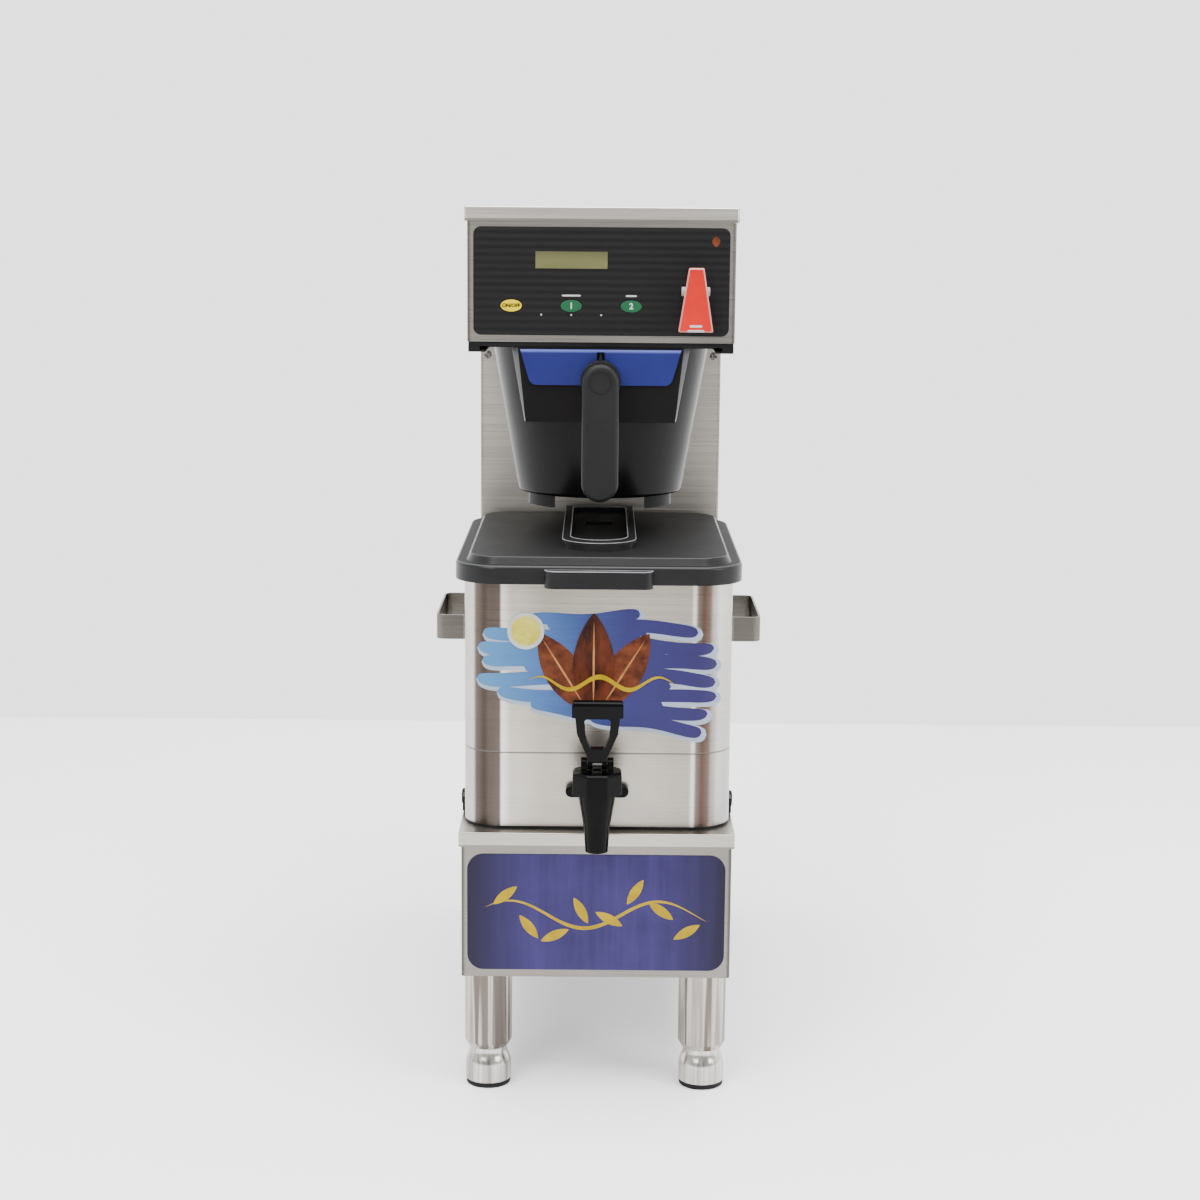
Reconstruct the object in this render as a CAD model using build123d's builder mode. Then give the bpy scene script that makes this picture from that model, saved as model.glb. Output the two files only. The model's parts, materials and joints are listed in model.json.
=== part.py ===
from build123d import *
import math
import os

# Counter-top coffee and tea brewer: a base box on four levelling legs, a rear column with
# the hot-water tank, an overhanging brew head with its basket, and a lift-off tea dispenser.
# Millimetres. +X right, +Y to the rear, +Z up. The origin lies on the floor, under the
# middle of the whole object.

os.makedirs("parts", exist_ok=True)

# Sheet metal and fits
sheet = 1.2
bend_inner = 1.3
slip_gap = 0.1
turn_gap = 0.05
free_gap = 0.3
edge_round = 0.9

# Main shells
shell_width = 249.0
base_depth = 560.0
base_bottom = 111.5
base_height = 138.5
column_width = 248.0
column_setback = 330.0
head_setback = 105.0
head_height = 124.0
lip_overhang = 2.5
lip_height = 13.5
pan_sheet = 1.5
pan_flange = 50.0
cable_slot = 40.0

# Front panel of the base
panel_side_margin = 5.6
panel_edge_margin = 7.1
panel_corner = 15.0
panel_thickness = 0.8

# Legs and levelling feet
leg_inset = 24.0
leg_radius = 22.25
leg_wall = 1.5
neck_radius = 17.2
neck_height = 37.4
cone_height = 6.1
foot_radius = 21.3
foot_straight = 18.0
foot_inner_height = 9.0
pad_height = 5.0
pad_radius = 20.8
pad_round = 1.2
pad_peg_radius = 4.0
pad_peg_height = 4.0
stud_radius = 6.0
stud_top = 84.0
insert_height = 10.0
insert_lift = 6.0
leg_bolt_radius = 5.0
leg_bolt_height = 14.0
leg_plug_height = 8.0
leg_nut_height = 8.0
leg_nut_radius = 8.5

# Screws that hold the sheet panels
screw_radius = 2.0
screw_length = 6.0
screw_head_radius = 4.0
screw_head_top_radius = 3.2
screw_head_height = 2.2
screw_slot_length = 4.4
screw_slot_width = 1.0
screw_slot_depth = 1.0
base_screw_inset = 40.0
base_screw_lift = 41.5
column_screw_inset = 7.3
column_screw_drop = 26.5
rear_flange = 15.0
rear_screw_rows = 4
lid_screw_count = 2

# Round bumpers on the sides of the base
bumper_radius = 8.0
bumper_thickness = 4.4
bumper_round = 2.5
bumper_setback = 125.0

# Louvres in the rear cover
louvre_width = 60.0
louvre_height = 4.0
louvre_pitch = 14.0
louvre_spacing = 90.0
louvre_rows = 6

# Control face
overlay_width = 237.0
overlay_height = 99.3
overlay_lift = 6.4
overlay_corner = 7.0
overlay_thickness = 1.5
control_spacing = 55.6
button_lift = 33.5
button_width = 19.5
button_height = 10.9
button_proud = 0.7
button_rim = 1.6
button_rim_thickness = 1.0
button_travel = 0.8
button_gap = 0.25
lamp_drop = 8.2
lamp_radius = 0.9
display_width = 66.5
display_height = 15.5
display_lift = 75.6
glass_thickness = 2.4
board_gap = 7.0
board_thickness = 1.6
board_height = 84.0
board_right_gap = 30.0
weld_stud_radius = 2.5
weld_stud_inset = 5.0

# Hot-water lever and its valve
lever_across = 87.0
lever_pivot_lift = 48.0
lever_plate_height = 58.5
lever_above_pivot = 21.8
lever_top_width = 14.0
lever_bottom_width = 32.3
lever_plate_thickness = 4.0
lever_plate_gap = 6.0
lever_plate_round = 1.3
lever_pivot_reach = 14.0
lever_lug_width = 7.4
lever_cam_depth = 2.6
yoke_width = 25.7
yoke_height = 8.0
yoke_pin_radius = 1.5
yoke_side_gap = 0.4
valve_width = 30.0
valve_depth = 28.0
valve_height = 34.0
valve_setback = 8.0
valve_corner = 3.0
valve_wall = 2.0
valve_raise = 2.0
valve_stem_radius = 1.5
valve_disc_radius = 6.0
valve_disc_thickness = 3.0
valve_bore_radius = 7.5
valve_bore_depth = 18.0
valve_inlet_height = 14.0
valve_inlet_bore = 2.0
hot_spout_radius = 6.0
hot_spout_bore = 4.5

# Under the head
underpan_thickness = 4.3
underpan_margin = 1.0
rail_depth = 9.6
rail_lip = 1.9
rail_inner = 107.5
rail_groove = 113.0
rail_stop = 6.0

# Spray head, brew valve and hoses
spray_radius = 22.0
spray_tip_radius = 17.6
spray_thickness = 4.1
spray_stem_radius = 6.0
spray_jet_radius = 1.0
spray_jet_count = 6
barb_radius = 4.0
barb_length = 10.0
hose_wall = 2.5
hose_bend = 20.0
brew_valve_setback = 300.0
brew_valve_width = 36.0
brew_valve_depth = 32.0
brew_valve_height = 26.0
coil_radius = 14.0
coil_height = 30.0

# Hot-water tank in the column
tank_wall = 1.5
tank_stand = 12.0
tank_height = 398.0
tank_headroom = 28.5
tank_front_gap = 6.0
tank_rear_gap = 26.8
tank_side_gap = 24.8
tank_flange = 6.0
tank_lid_thickness = 3.0
tank_foot_width = 24.0
tank_foot_count = 4
element_radius = 4.0
element_spread = 15.0
element_length = 320.0
element_flange_radius = 26.0
element_flange_thickness = 5.0
element_post_height = 14.0
probe_radius = 3.0
probe_length = 90.0
probe_across = 48.0
probe_hex_radius = 8.0
probe_hex_height = 9.0
brew_outlet_share = 0.565
hot_outlet_share = 0.652

# Water inlet and power inlet at the back
inlet_across = -45.0
inlet_lift = 55.0
inlet_thread_radius = 5.55
inlet_thread_length = 14.0
inlet_hex_radius = 10.0
inlet_hex_height = 10.0
inlet_shank_radius = 8.0
inlet_bore = 3.5
inlet_valve_width = 34.0
inlet_valve_depth = 27.0
inlet_valve_height = 40.0
inlet_valve_corner = 2.8
inlet_coil_radius = 12.0
inlet_coil_height = 28.0
nipple_radius = 6.0
nipple_reach = 4.5
gland_across = 70.0
gland_lift = 55.0
gland_radius = 11.0
gland_tip_radius = 8.5
gland_bore = 5.0
gland_flange_radius = 15.0
gland_flange_thickness = 4.0
gland_reach = 16.0
gland_inside = 8.0

# Brew basket
basket_setback = 215.0
basket_bottom_radius = 80.5
basket_top_radius = 105.5
basket_wall = 3.0
basket_height = 145.7
basket_edge_round = 4.0
basket_head_gap = 0.2
basket_flange_reach = 112.3
basket_flange_length = 140.0
basket_outlet_radius = 9.0
basket_outlet_bore = 6.0
basket_outlet_height = 10.0
basket_foot_radius = 75.0
basket_foot_thickness = 4.0
basket_foot_height = 11.5
basket_foot_inner = 43.0
basket_foot_outer = 69.5
boss_reach = 108.5
boss_top_half = 77.5
boss_bottom_half = 70.0
boss_height = 70.0
label_top_half = 75.0
label_bottom_half = 65.5
label_height = 33.0
label_top_drop = 2.2
label_thickness = 2.8
label_corner = 8.0
grip_width = 34.0
grip_height = 127.0
grip_thickness = 16.0
grip_round = 4.5
grip_stand_off = 28.5
grip_centre_drop = 30.0
grip_neck_radius = 18.5
grip_cap_radius = 10.6
grip_cap_depth = 1.2
grip_rib_width = 7.0
grip_rib_height = 7.0
grip_rib_length = 14.0

# Wire frame that lies in the basket
wire_radius = 1.2
ring_size = 3.2
wire_count = 8
wire_bottom_inset = 8.0
wire_top_inset = 6.0
wire_top_drop = 26.0

# Tea dispenser
tank_setback = 12.0
dispenser_width = 247.0
dispenser_depth = 306.0
dispenser_corner = 36.0
dispenser_height = 244.0
dispenser_headroom = 197.5
ring_height = 2.7
ring_border = 14.0
side_tab_thickness = 4.0
side_tab_height = 14.0
side_tab_length = 16.0
side_tab_setback = 68.0

# Strap handles of the dispenser
strap_thickness = 2.0
strap_height = 23.5
strap_lift = 160.5
strap_reach = 30.5
strap_setback = 149.0
strap_length = 122.0
strap_corner = 8.0
strap_foot = 16.0

# Dispenser lid
lid_side_overlap = 7.5
lid_front_overlap = 16.0
lid_corner = 41.0
lid_skirt = 12.6
lid_ledge = 4.0
lid_rise = 6.5
lid_rise_taper = 30.0
lid_ledge_width = 10.0
lid_wall = 3.5
lid_rib_gap = 0.8
lid_rib_wall = 5.0
lid_rib_height = 6.0
lid_edge_round = 3.0
lid_crown_round = 1.6
lid_tab_width = 98.0
lid_tab_reach = 10.0
lid_tab_height = 15.9
lid_tab_drop = 2.4
lid_tab_corner = 9.0
lid_slot_width = 34.0
lid_slot_length = 26.0

# Funnel piece on the lid
funnel_flange_half = 34.5
funnel_skirt_half = 31.5
funnel_front_setback = 76.0
funnel_rear_setback = 303.0
funnel_skirt_height = 4.6
funnel_height = 7.5
funnel_bow = 32.0
funnel_corner = 4.0
funnel_side_rim = 8.0
funnel_front_rim = 20.0
funnel_floor = 2.0
funnel_slot_width = 26.0
funnel_slot_length = 18.0

# Faucet
shank_reach = 46.0
shank_lift = 38.0
shank_radius = 11.0
shank_start = 26.0
shank_wall = 2.0
shank_flange_radius = 16.0
shank_flange_thickness = 3.0
tail_bore = 6.0
tail_depth = 12.0
faucet_top_radius = 17.4
faucet_cone_radius = 12.2
faucet_tip_radius = 10.2
faucet_tip_drop = 7.0
faucet_cone_lift = 18.0
faucet_shoulder_lift = 47.3
faucet_collar_height = 12.0
faucet_collar_wall = 2.6
spout_bore = 7.0
seat_lift = 30.0
chamber_radius = 12.0
bonnet_width = 44.0
bonnet_height = 21.0
bonnet_roof = 8.0
bonnet_bevel = 2.0
bonnet_sides = 8
cheek_inner = 9.0
cheek_outer = 14.7
cheek_radius = 6.0
cheek_half_depth = 7.5
pin_radius = 2.5
pin_lift = 5.6
stem_radius = 4.0
stem_top_drop = 1.2
seat_cup_radius = 10.6
seat_cup_height = 9.0
wing_radius = 17.0
wing_thickness = 10.0
wing_reach = 29.0
wing_height = 11.0
wing_round = 2.0

# Faucet lever: half widths and heights above its pin
lever_neck_half = 8.7
lever_hub_radius = 5.2
lever_depth = 8.0
lever_neck_top = 7.0
lever_shoulder_half = 18.4
lever_shoulder_lift = 29.5
lever_ring_half = 20.0
lever_bar_half = 22.9
lever_bar_lift = 45.0
lever_bar_height = 14.7
lever_bar_depth = 11.0
lever_bar_round = 4.0
lever_hole_bottom_half = 5.9
lever_hole_bottom = 15.2
lever_hole_middle_half = 10.4
lever_hole_middle = 25.0
lever_hole_top_half = 12.0
lever_hole_top = 43.5
lever_hole_round = 3.0
lever_lean = 6.0

# Places that follow from the sizes
front_reach = shank_reach + bonnet_width / 2 - tank_setback
inlet_reach = inlet_hex_height + inlet_thread_length
front_y = (front_reach - inlet_reach - base_depth) / 2
back_y = front_y + base_depth
base_middle = (front_y + back_y) / 2
base_top = base_bottom + base_height
column_front = front_y + column_setback
column_middle = (column_front + back_y) / 2
column_depth = back_y - column_front
tank_room = tank_stand + tank_height + tank_lid_thickness + tank_headroom
dispenser_room = dispenser_height + dispenser_headroom
column_height = max(tank_room, dispenser_room)
tank_room_deep = column_depth - sheet - tank_front_gap - tank_rear_gap
tank_room_wide = column_width - 2 * (sheet + tank_side_gap)
tank_radius = min(tank_room_deep, tank_room_wide) / 2 - tank_flange
brew_outlet_setback = tank_radius * brew_outlet_share
hot_outlet_across = tank_radius * hot_outlet_share
head_front = front_y + head_setback
head_middle = (head_front + back_y) / 2
head_depth = back_y - head_front
head_bottom = base_top + column_height
head_top = head_bottom + head_height
half_shell = shell_width / 2
lip_half = half_shell + lip_overhang
upward = (Align.CENTER, Align.CENTER, Align.MIN)
downward = (Align.CENTER, Align.CENTER, Align.MAX)


def level(height, depth=0.0, across=0.0):
    # Sketch plane seen from above
    return Plane(origin=(across, depth, height), x_dir=(1, 0, 0), z_dir=(0, 0, 1))


def facing_front(depth, across=0.0, height=0.0):
    # Sketch plane seen from the front: extrudes towards the front
    return Plane(origin=(across, depth, height), x_dir=(1, 0, 0), z_dir=(0, -1, 0))


def facing_back(depth, across=0.0, height=0.0):
    # Sketch plane seen from behind: extrudes towards the back
    return Plane(origin=(across, depth, height), x_dir=(-1, 0, 0), z_dir=(0, 1, 0))


def facing_right(across, depth=0.0, height=0.0):
    # Sketch plane seen from the right: extrudes towards the right
    return Plane(origin=(across, depth, height), x_dir=(0, 1, 0), z_dir=(1, 0, 0))


def facing_left(across, depth=0.0, height=0.0):
    # Sketch plane seen from the left: extrudes towards the left
    return Plane(origin=(across, depth, height), x_dir=(0, -1, 0), z_dir=(-1, 0, 0))


def save(piece, name):
    piece.part.label = name
    export_step(piece.part, f"parts/{name}.step")


def turned(outline, across=0.0, depth=0.0):
    # Solid of revolution about a vertical axis, from points of radius and height
    with BuildPart() as shape:
        with BuildSketch(facing_front(depth, across)):
            with BuildLine():
                Polyline(*outline, close=True)
            make_face()
        revolve(axis=Axis((across, depth, 0), (0, 0, 1)))
    return shape.part


def sheet_box(width, depth, middle, bottom, height, wall, bend, floor=0.0, roof=0.0):
    # Four bent walls, with a floor or a roof where a thickness is given
    with BuildPart() as box:
        with BuildSketch(level(bottom, middle)):
            RectangleRounded(width, depth, bend + wall)
        extrude(amount=height)
        with BuildSketch(level(bottom + floor, middle)):
            RectangleRounded(width - 2 * wall, depth - 2 * wall, bend)
        extrude(amount=height - floor - roof, mode=Mode.SUBTRACT)
    return box.part


def spread(count, length):
    # Even steps along a length, centred on zero, with half a step left at each end
    return [(index + 0.5) * length / count - length / 2 for index in range(count)]


def hex_nut(height, radius, bore):
    with BuildPart() as nut:
        with BuildSketch():
            RegularPolygon(radius, 6, major_radius=False)
            Circle(bore, mode=Mode.SUBTRACT)
        extrude(amount=height)
    return nut.part


def hose(stops):
    # Hose that slips over the barbs, along straight runs and round bends
    bore = barb_radius + slip_gap
    with BuildPart() as tube:
        with BuildLine() as path:
            if len(stops) > 2:
                FilletPolyline(*stops, radius=hose_bend)
            else:
                Line(*stops)
        with BuildSketch(Plane(origin=path.line @ 0, z_dir=path.line % 0)):
            Circle(bore + hose_wall)
            Circle(bore, mode=Mode.SUBTRACT)
        sweep(path=path.line)
    return tube.part


# Places of the panel screws, each a plane that faces the way the head looks
screw_planes = []
for depth in (front_y + base_screw_inset, base_middle, back_y - base_screw_inset):
    screw_planes.append(facing_right(half_shell, depth, base_bottom + base_screw_lift))
    screw_planes.append(facing_left(-half_shell, depth, base_bottom + base_screw_lift))
for step in spread(lid_screw_count, head_depth):
    screw_planes.append(facing_right(lip_half, head_middle + step, head_top - lip_height / 2))
    screw_planes.append(facing_left(-lip_half, head_middle + step, head_top - lip_height / 2))
for side in (-1, 1):
    front_screw_across = side * (column_width / 2 - column_screw_inset)
    rear_screw_across = side * (column_width - rear_flange) / 2
    screw_planes.append(facing_front(column_front, front_screw_across, head_bottom - column_screw_drop))
    for step in spread(rear_screw_rows, column_height):
        screw_planes.append(facing_back(back_y, rear_screw_across, base_top + column_height / 2 + step))


def screw_holes():
    # Clearance holes for the panel screws, cut from the piece that is being built
    with Locations(*screw_planes):
        Cylinder(screw_radius + slip_gap, 2 * screw_length + sheet, mode=Mode.SUBTRACT)


# Base box

with BuildPart() as base_shell:
    add(sheet_box(shell_width, base_depth, base_middle, base_bottom, base_height - sheet, sheet, bend_inner))
    screw_holes()
save(base_shell, "base_shell")

with BuildPart() as base_top_plate:
    add(sheet_box(2 * lip_half, base_depth + 2 * lip_overhang, base_middle, base_top - lip_height, lip_height,
                  sheet, bend_inner, roof=sheet))
    fillet(base_top_plate.faces().sort_by(Axis.Z)[-1].edges(), radius=edge_round)
    with BuildSketch(level(base_top - sheet, column_front + cable_slot)):
        SlotOverall(2 * cable_slot, cable_slot)
    extrude(amount=sheet, mode=Mode.SUBTRACT)
save(base_top_plate, "base_top")

pan_width = shell_width - 2 * sheet - 2 * slip_gap
pan_depth = base_depth - 2 * sheet - 2 * slip_gap
leg_places = [(side * (half_shell - leg_inset), base_middle + end * (base_depth / 2 - leg_inset))
              for end in (-1, 1) for side in (-1, 1)]

with BuildPart() as base_pan:
    add(sheet_box(pan_width, pan_depth, base_middle, base_bottom, pan_flange, pan_sheet, bend_inner,
                  floor=pan_sheet))
    with BuildSketch(level(base_bottom)):
        with Locations(*leg_places):
            Circle(leg_bolt_radius + slip_gap)
    extrude(amount=pan_sheet, mode=Mode.SUBTRACT)
    screw_holes()
save(base_pan, "base_pan")

panel_space = base_height - lip_height

with BuildPart() as base_panel:
    with BuildSketch(facing_front(front_y, 0, base_bottom + panel_space / 2)):
        RectangleRounded(shell_width - 2 * panel_side_margin, panel_space - 2 * panel_edge_margin, panel_corner)
    extrude(amount=panel_thickness)
save(base_panel, "base_panel")

bumper_y = front_y + bumper_setback

with BuildPart() as side_bumpers:
    with Locations(facing_right(lip_half, bumper_y, base_top), facing_left(-lip_half, bumper_y, base_top)):
        Cylinder(bumper_radius, bumper_thickness, align=upward)
    rims = side_bumpers.edges().group_by(Axis.X)
    fillet(rims[0] + rims[-1], radius=bumper_round)
save(side_bumpers, "side_bumpers")

with BuildPart() as panel_screws:
    with Locations(*screw_planes):
        Cone(screw_head_radius, screw_head_top_radius, screw_head_height, align=upward)
        Cylinder(screw_radius, screw_length, align=downward)
    slot_planes = [plane.offset(screw_head_height - screw_slot_depth) for plane in screw_planes]
    with Locations(*slot_planes):
        Box(screw_slot_length, screw_slot_width, screw_slot_depth, align=upward, mode=Mode.SUBTRACT)
        Box(screw_slot_width, screw_slot_length, screw_slot_depth, align=upward, mode=Mode.SUBTRACT)
save(panel_screws, "panel_screws")


# Legs: a tube with a threaded ring, a plug with its bolt and nut, and a turning foot

tube_inner = leg_radius - leg_wall
neck_opening = neck_radius + free_gap
cone_top = neck_height + cone_height
insert_bottom = cone_top + insert_lift
insert_top = insert_bottom + insert_height
thread_radius = stud_radius + turn_gap
leg_outline = [
    (neck_opening, neck_height), (neck_opening + leg_wall, neck_height), (leg_radius, cone_top),
    (leg_radius, base_bottom), (tube_inner, base_bottom), (tube_inner, insert_top),
    (thread_radius, insert_top), (thread_radius, insert_bottom), (tube_inner, insert_bottom),
    (tube_inner, cone_top),
]

with BuildPart() as leg_tubes:
    for across, depth in leg_places:
        add(turned(leg_outline, across, depth))
save(leg_tubes, "leg_tubes")

plug_bottom = base_bottom - leg_plug_height
bolt_top = base_bottom + leg_bolt_height
bolt_outline = [
    (0, plug_bottom), (tube_inner - turn_gap, plug_bottom), (tube_inner - turn_gap, base_bottom),
    (leg_bolt_radius, base_bottom), (leg_bolt_radius, bolt_top), (0, bolt_top),
]

with BuildPart() as leg_fasteners:
    for across, depth in leg_places:
        add(turned(bolt_outline, across, depth))
    with Locations(*[(across, depth, base_bottom + pan_sheet) for across, depth in leg_places]):
        add(hex_nut(leg_nut_height, leg_nut_radius, leg_bolt_radius + turn_gap))
save(leg_fasteners, "leg_fasteners")


def foot_at(across, depth):
    # Straight band, a curved shoulder up to the neck, and the threaded stud
    inner_top = neck_height + foot_inner_height
    shoulder = (foot_straight + neck_height) / 2
    with BuildPart() as foot:
        with BuildSketch(facing_front(depth, across)):
            with BuildLine():
                Polyline((0, pad_height), (foot_radius, pad_height), (foot_radius, foot_straight))
                Bezier((foot_radius, foot_straight), (foot_radius, shoulder), (neck_radius, shoulder),
                       (neck_radius, neck_height))
                Polyline((neck_radius, neck_height), (neck_radius, inner_top), (stud_radius, inner_top),
                         (stud_radius, stud_top), (0, stud_top), (0, pad_height))
            make_face()
        revolve(axis=Axis((across, depth, 0), (0, 0, 1)))
        with Locations(level(pad_height, depth, across)):
            Cylinder(pad_peg_radius + turn_gap, pad_peg_height + slip_gap, align=upward, mode=Mode.SUBTRACT)
    return foot


def pad_at(across, depth):
    with BuildPart() as pad:
        with Locations(level(0, depth, across)):
            Cylinder(pad_radius, pad_height, align=upward)
        fillet(pad.faces().sort_by(Axis.Z)[0].edges(), radius=pad_round)
        with Locations(level(pad_height, depth, across)):
            Cylinder(pad_peg_radius, pad_peg_height, align=upward)
    return pad


for name, place in zip(["front_left", "front_right", "rear_left", "rear_right"], leg_places):
    save(foot_at(*place), f"foot_{name}")
    save(pad_at(*place), f"foot_pad_{name}")


# Column

rear_plate_y = back_y - sheet
inlet_height = base_top + inlet_lift
gland_height = base_top + gland_lift

with BuildPart() as column_shell:
    add(sheet_box(column_width, column_depth - sheet, (column_front + rear_plate_y) / 2, base_top,
                  column_height, sheet, bend_inner))
    with BuildSketch(facing_back(column_middle, 0, base_top + column_height / 2)):
        Rectangle(column_width - 2 * rear_flange, column_height)
    extrude(amount=column_depth / 2, mode=Mode.SUBTRACT)
    screw_holes()
save(column_shell, "column_shell")

with BuildPart() as rear_cover:
    with BuildSketch(facing_back(rear_plate_y, 0, base_top + column_height / 2)):
        Rectangle(column_width, column_height)
    extrude(amount=sheet)
    with BuildSketch(facing_back(rear_plate_y, 0, head_bottom - louvre_rows * louvre_pitch)):
        with GridLocations(louvre_spacing, louvre_pitch, 2, louvre_rows):
            SlotOverall(louvre_width, louvre_height)
    extrude(amount=sheet, mode=Mode.SUBTRACT)
    with BuildSketch(facing_back(rear_plate_y)):
        with Locations((-inlet_across, inlet_height)):
            Circle(inlet_shank_radius + slip_gap)
        with Locations((-gland_across, gland_height)):
            Circle(gland_radius + slip_gap)
    extrude(amount=sheet, mode=Mode.SUBTRACT)
    screw_holes()
save(rear_cover, "rear_cover")


# Brew head and its control face

display_across = -control_spacing / 2
display_z = head_bottom + display_lift
button_z = head_bottom + button_lift
button_places = {
    "on_off_button": -1.5 * control_spacing,
    "coffee_button": -0.5 * control_spacing,
    "tea_button": 0.5 * control_spacing,
}
lamp_places = [(-step * control_spacing / 2, button_z - lamp_drop) for step in range(3)]
pivot_z = head_bottom + lever_pivot_lift
basket_y = front_y + basket_setback
valve_front = head_front + sheet + valve_setback
valve_middle = valve_front + valve_depth / 2
board_front = head_front + sheet + board_gap
board_left = -half_shell + sheet + slip_gap + weld_stud_inset
board_right = lever_across - board_right_gap
board_middle = (board_left + board_right) / 2
board_width = board_right - board_left
board_z = head_bottom + (head_height - lip_height) / 2
stud_pitch = board_width - 2 * weld_stud_inset
stud_rise = board_height - 2 * weld_stud_inset
floor_border = rear_flange - sheet


def control_openings():
    # Window, buttons, lamps and yoke hole, drawn in the sketch of the face they go through
    with Locations((display_across, display_z)):
        Rectangle(display_width + 2 * slip_gap, display_height + 2 * slip_gap)
    with Locations(*[(across, button_z) for across in button_places.values()]):
        Ellipse(button_width / 2 + button_gap, button_height / 2 + button_gap)
    with Locations(*lamp_places):
        Circle(lamp_radius + slip_gap)
    with Locations((lever_across, pivot_z)):
        Rectangle(yoke_width + 2 * yoke_side_gap, yoke_height + 2 * yoke_side_gap)


with BuildPart() as head_shell:
    add(sheet_box(shell_width, head_depth, head_middle, head_bottom, head_height - sheet, sheet, bend_inner,
                  floor=sheet))
    with BuildSketch(level(head_bottom)):
        with Locations((0, column_middle)):
            Rectangle(column_width - 2 * floor_border, column_depth - 2 * floor_border)
        with Locations((0, basket_y)):
            Circle(spray_stem_radius + slip_gap)
        with Locations((lever_across, valve_middle)):
            Circle(hot_spout_radius + slip_gap)
    extrude(amount=sheet, mode=Mode.SUBTRACT)
    with BuildSketch(facing_front(head_front + sheet)):
        control_openings()
    extrude(amount=sheet, mode=Mode.SUBTRACT)
    with BuildSketch(facing_front(board_front, board_middle, board_z)):
        with GridLocations(stud_pitch, stud_rise, 2, 2):
            Circle(weld_stud_radius)
    extrude(amount=board_gap)
    screw_holes()
save(head_shell, "head_shell")

with BuildPart() as head_lid:
    add(sheet_box(2 * lip_half, head_depth + 2 * lip_overhang, head_middle, head_top - lip_height, lip_height,
                  sheet, bend_inner, roof=sheet))
    fillet(head_lid.faces().sort_by(Axis.Z)[-1].edges(), radius=edge_round)
    screw_holes()
save(head_lid, "head_lid")

with BuildPart() as control_overlay:
    with BuildSketch(facing_front(head_front, 0, head_bottom + overlay_lift + overlay_height / 2)):
        RectangleRounded(overlay_width, overlay_height, overlay_corner)
    extrude(amount=overlay_thickness)
    with BuildSketch(facing_front(head_front)):
        control_openings()
    extrude(amount=overlay_thickness, mode=Mode.SUBTRACT)
save(control_overlay, "control_overlay")

glass_front = head_front - overlay_thickness + slip_gap
glass_back = glass_front + glass_thickness

with BuildPart() as display_window:
    with BuildSketch(facing_front(glass_back, display_across, display_z)):
        Rectangle(display_width, display_height)
    extrude(amount=glass_thickness)
save(display_window, "display_window")

button_front = head_front - overlay_thickness - button_proud
rim_front = head_front + sheet + slip_gap
rim_back = rim_front + button_rim_thickness
switch_front = rim_back + button_travel + slip_gap

with BuildPart() as control_board:
    with BuildSketch(facing_front(board_front + board_thickness, board_middle, board_z)):
        Rectangle(board_width, board_height)
    extrude(amount=board_thickness)
    with BuildSketch(facing_front(board_front)):
        with Locations(*[(across, button_z) for across in button_places.values()]):
            Circle(button_height / 2)
    extrude(amount=board_front - switch_front)
    with BuildSketch(facing_front(board_front, display_across, display_z)):
        Rectangle(display_width, display_height)
    extrude(amount=board_front - glass_back - slip_gap)
    with BuildSketch(facing_front(board_front)):
        with Locations(*lamp_places):
            Circle(lamp_radius)
    extrude(amount=board_front - head_front + overlay_thickness)
save(control_board, "control_board")

for name, across in button_places.items():
    with BuildPart() as button:
        with BuildSketch(facing_front(rim_front, across, button_z)):
            Ellipse(button_width / 2, button_height / 2)
        extrude(amount=rim_front - button_front)
        fillet(button.faces().sort_by(Axis.Y)[0].edges(), radius=button_proud / 2)
        with BuildSketch(facing_front(rim_back, across, button_z)):
            Ellipse(button_width / 2 + button_rim, button_height / 2 + button_rim)
        extrude(amount=button_rim_thickness)
    save(button, name)


# Hot-water lever, its yoke and valve

pivot_y = head_front - lever_pivot_reach
plate_back = pivot_y - lever_plate_gap
cam_y = pivot_y + lever_cam_depth
lever_top = pivot_z + lever_above_pivot
lever_bottom = lever_top - lever_plate_height
lug_radius = yoke_height / 2

with BuildPart() as hot_water_lever:
    with BuildSketch(facing_front(plate_back, lever_across)):
        with BuildLine():
            Polyline((-lever_top_width / 2, lever_top), (lever_top_width / 2, lever_top),
                     (lever_bottom_width / 2, lever_bottom), (-lever_bottom_width / 2, lever_bottom),
                     close=True)
        make_face()
    extrude(amount=lever_plate_thickness)
    fillet(hot_water_lever.edges().filter_by(Axis.Y), radius=lever_plate_round)
    chamfer(hot_water_lever.faces().sort_by(Axis.Y)[0].edges(), length=lever_plate_round)
    with BuildSketch(facing_right(lever_across - lever_lug_width / 2, pivot_y, pivot_z)):
        Circle(lug_radius)
        with Locations((-lever_plate_gap / 2, 0)):
            Rectangle(lever_plate_gap, yoke_height)
        Circle(yoke_pin_radius + turn_gap, mode=Mode.SUBTRACT)
    extrude(amount=lever_lug_width)
    with Locations((lever_across, cam_y + lug_radius, pivot_z)):
        Box(lever_lug_width, 2 * lug_radius, yoke_height, mode=Mode.SUBTRACT)
save(hot_water_lever, "hot_water_lever")

slot_depth = lug_radius + free_gap
stem_z = pivot_z + valve_raise

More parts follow.
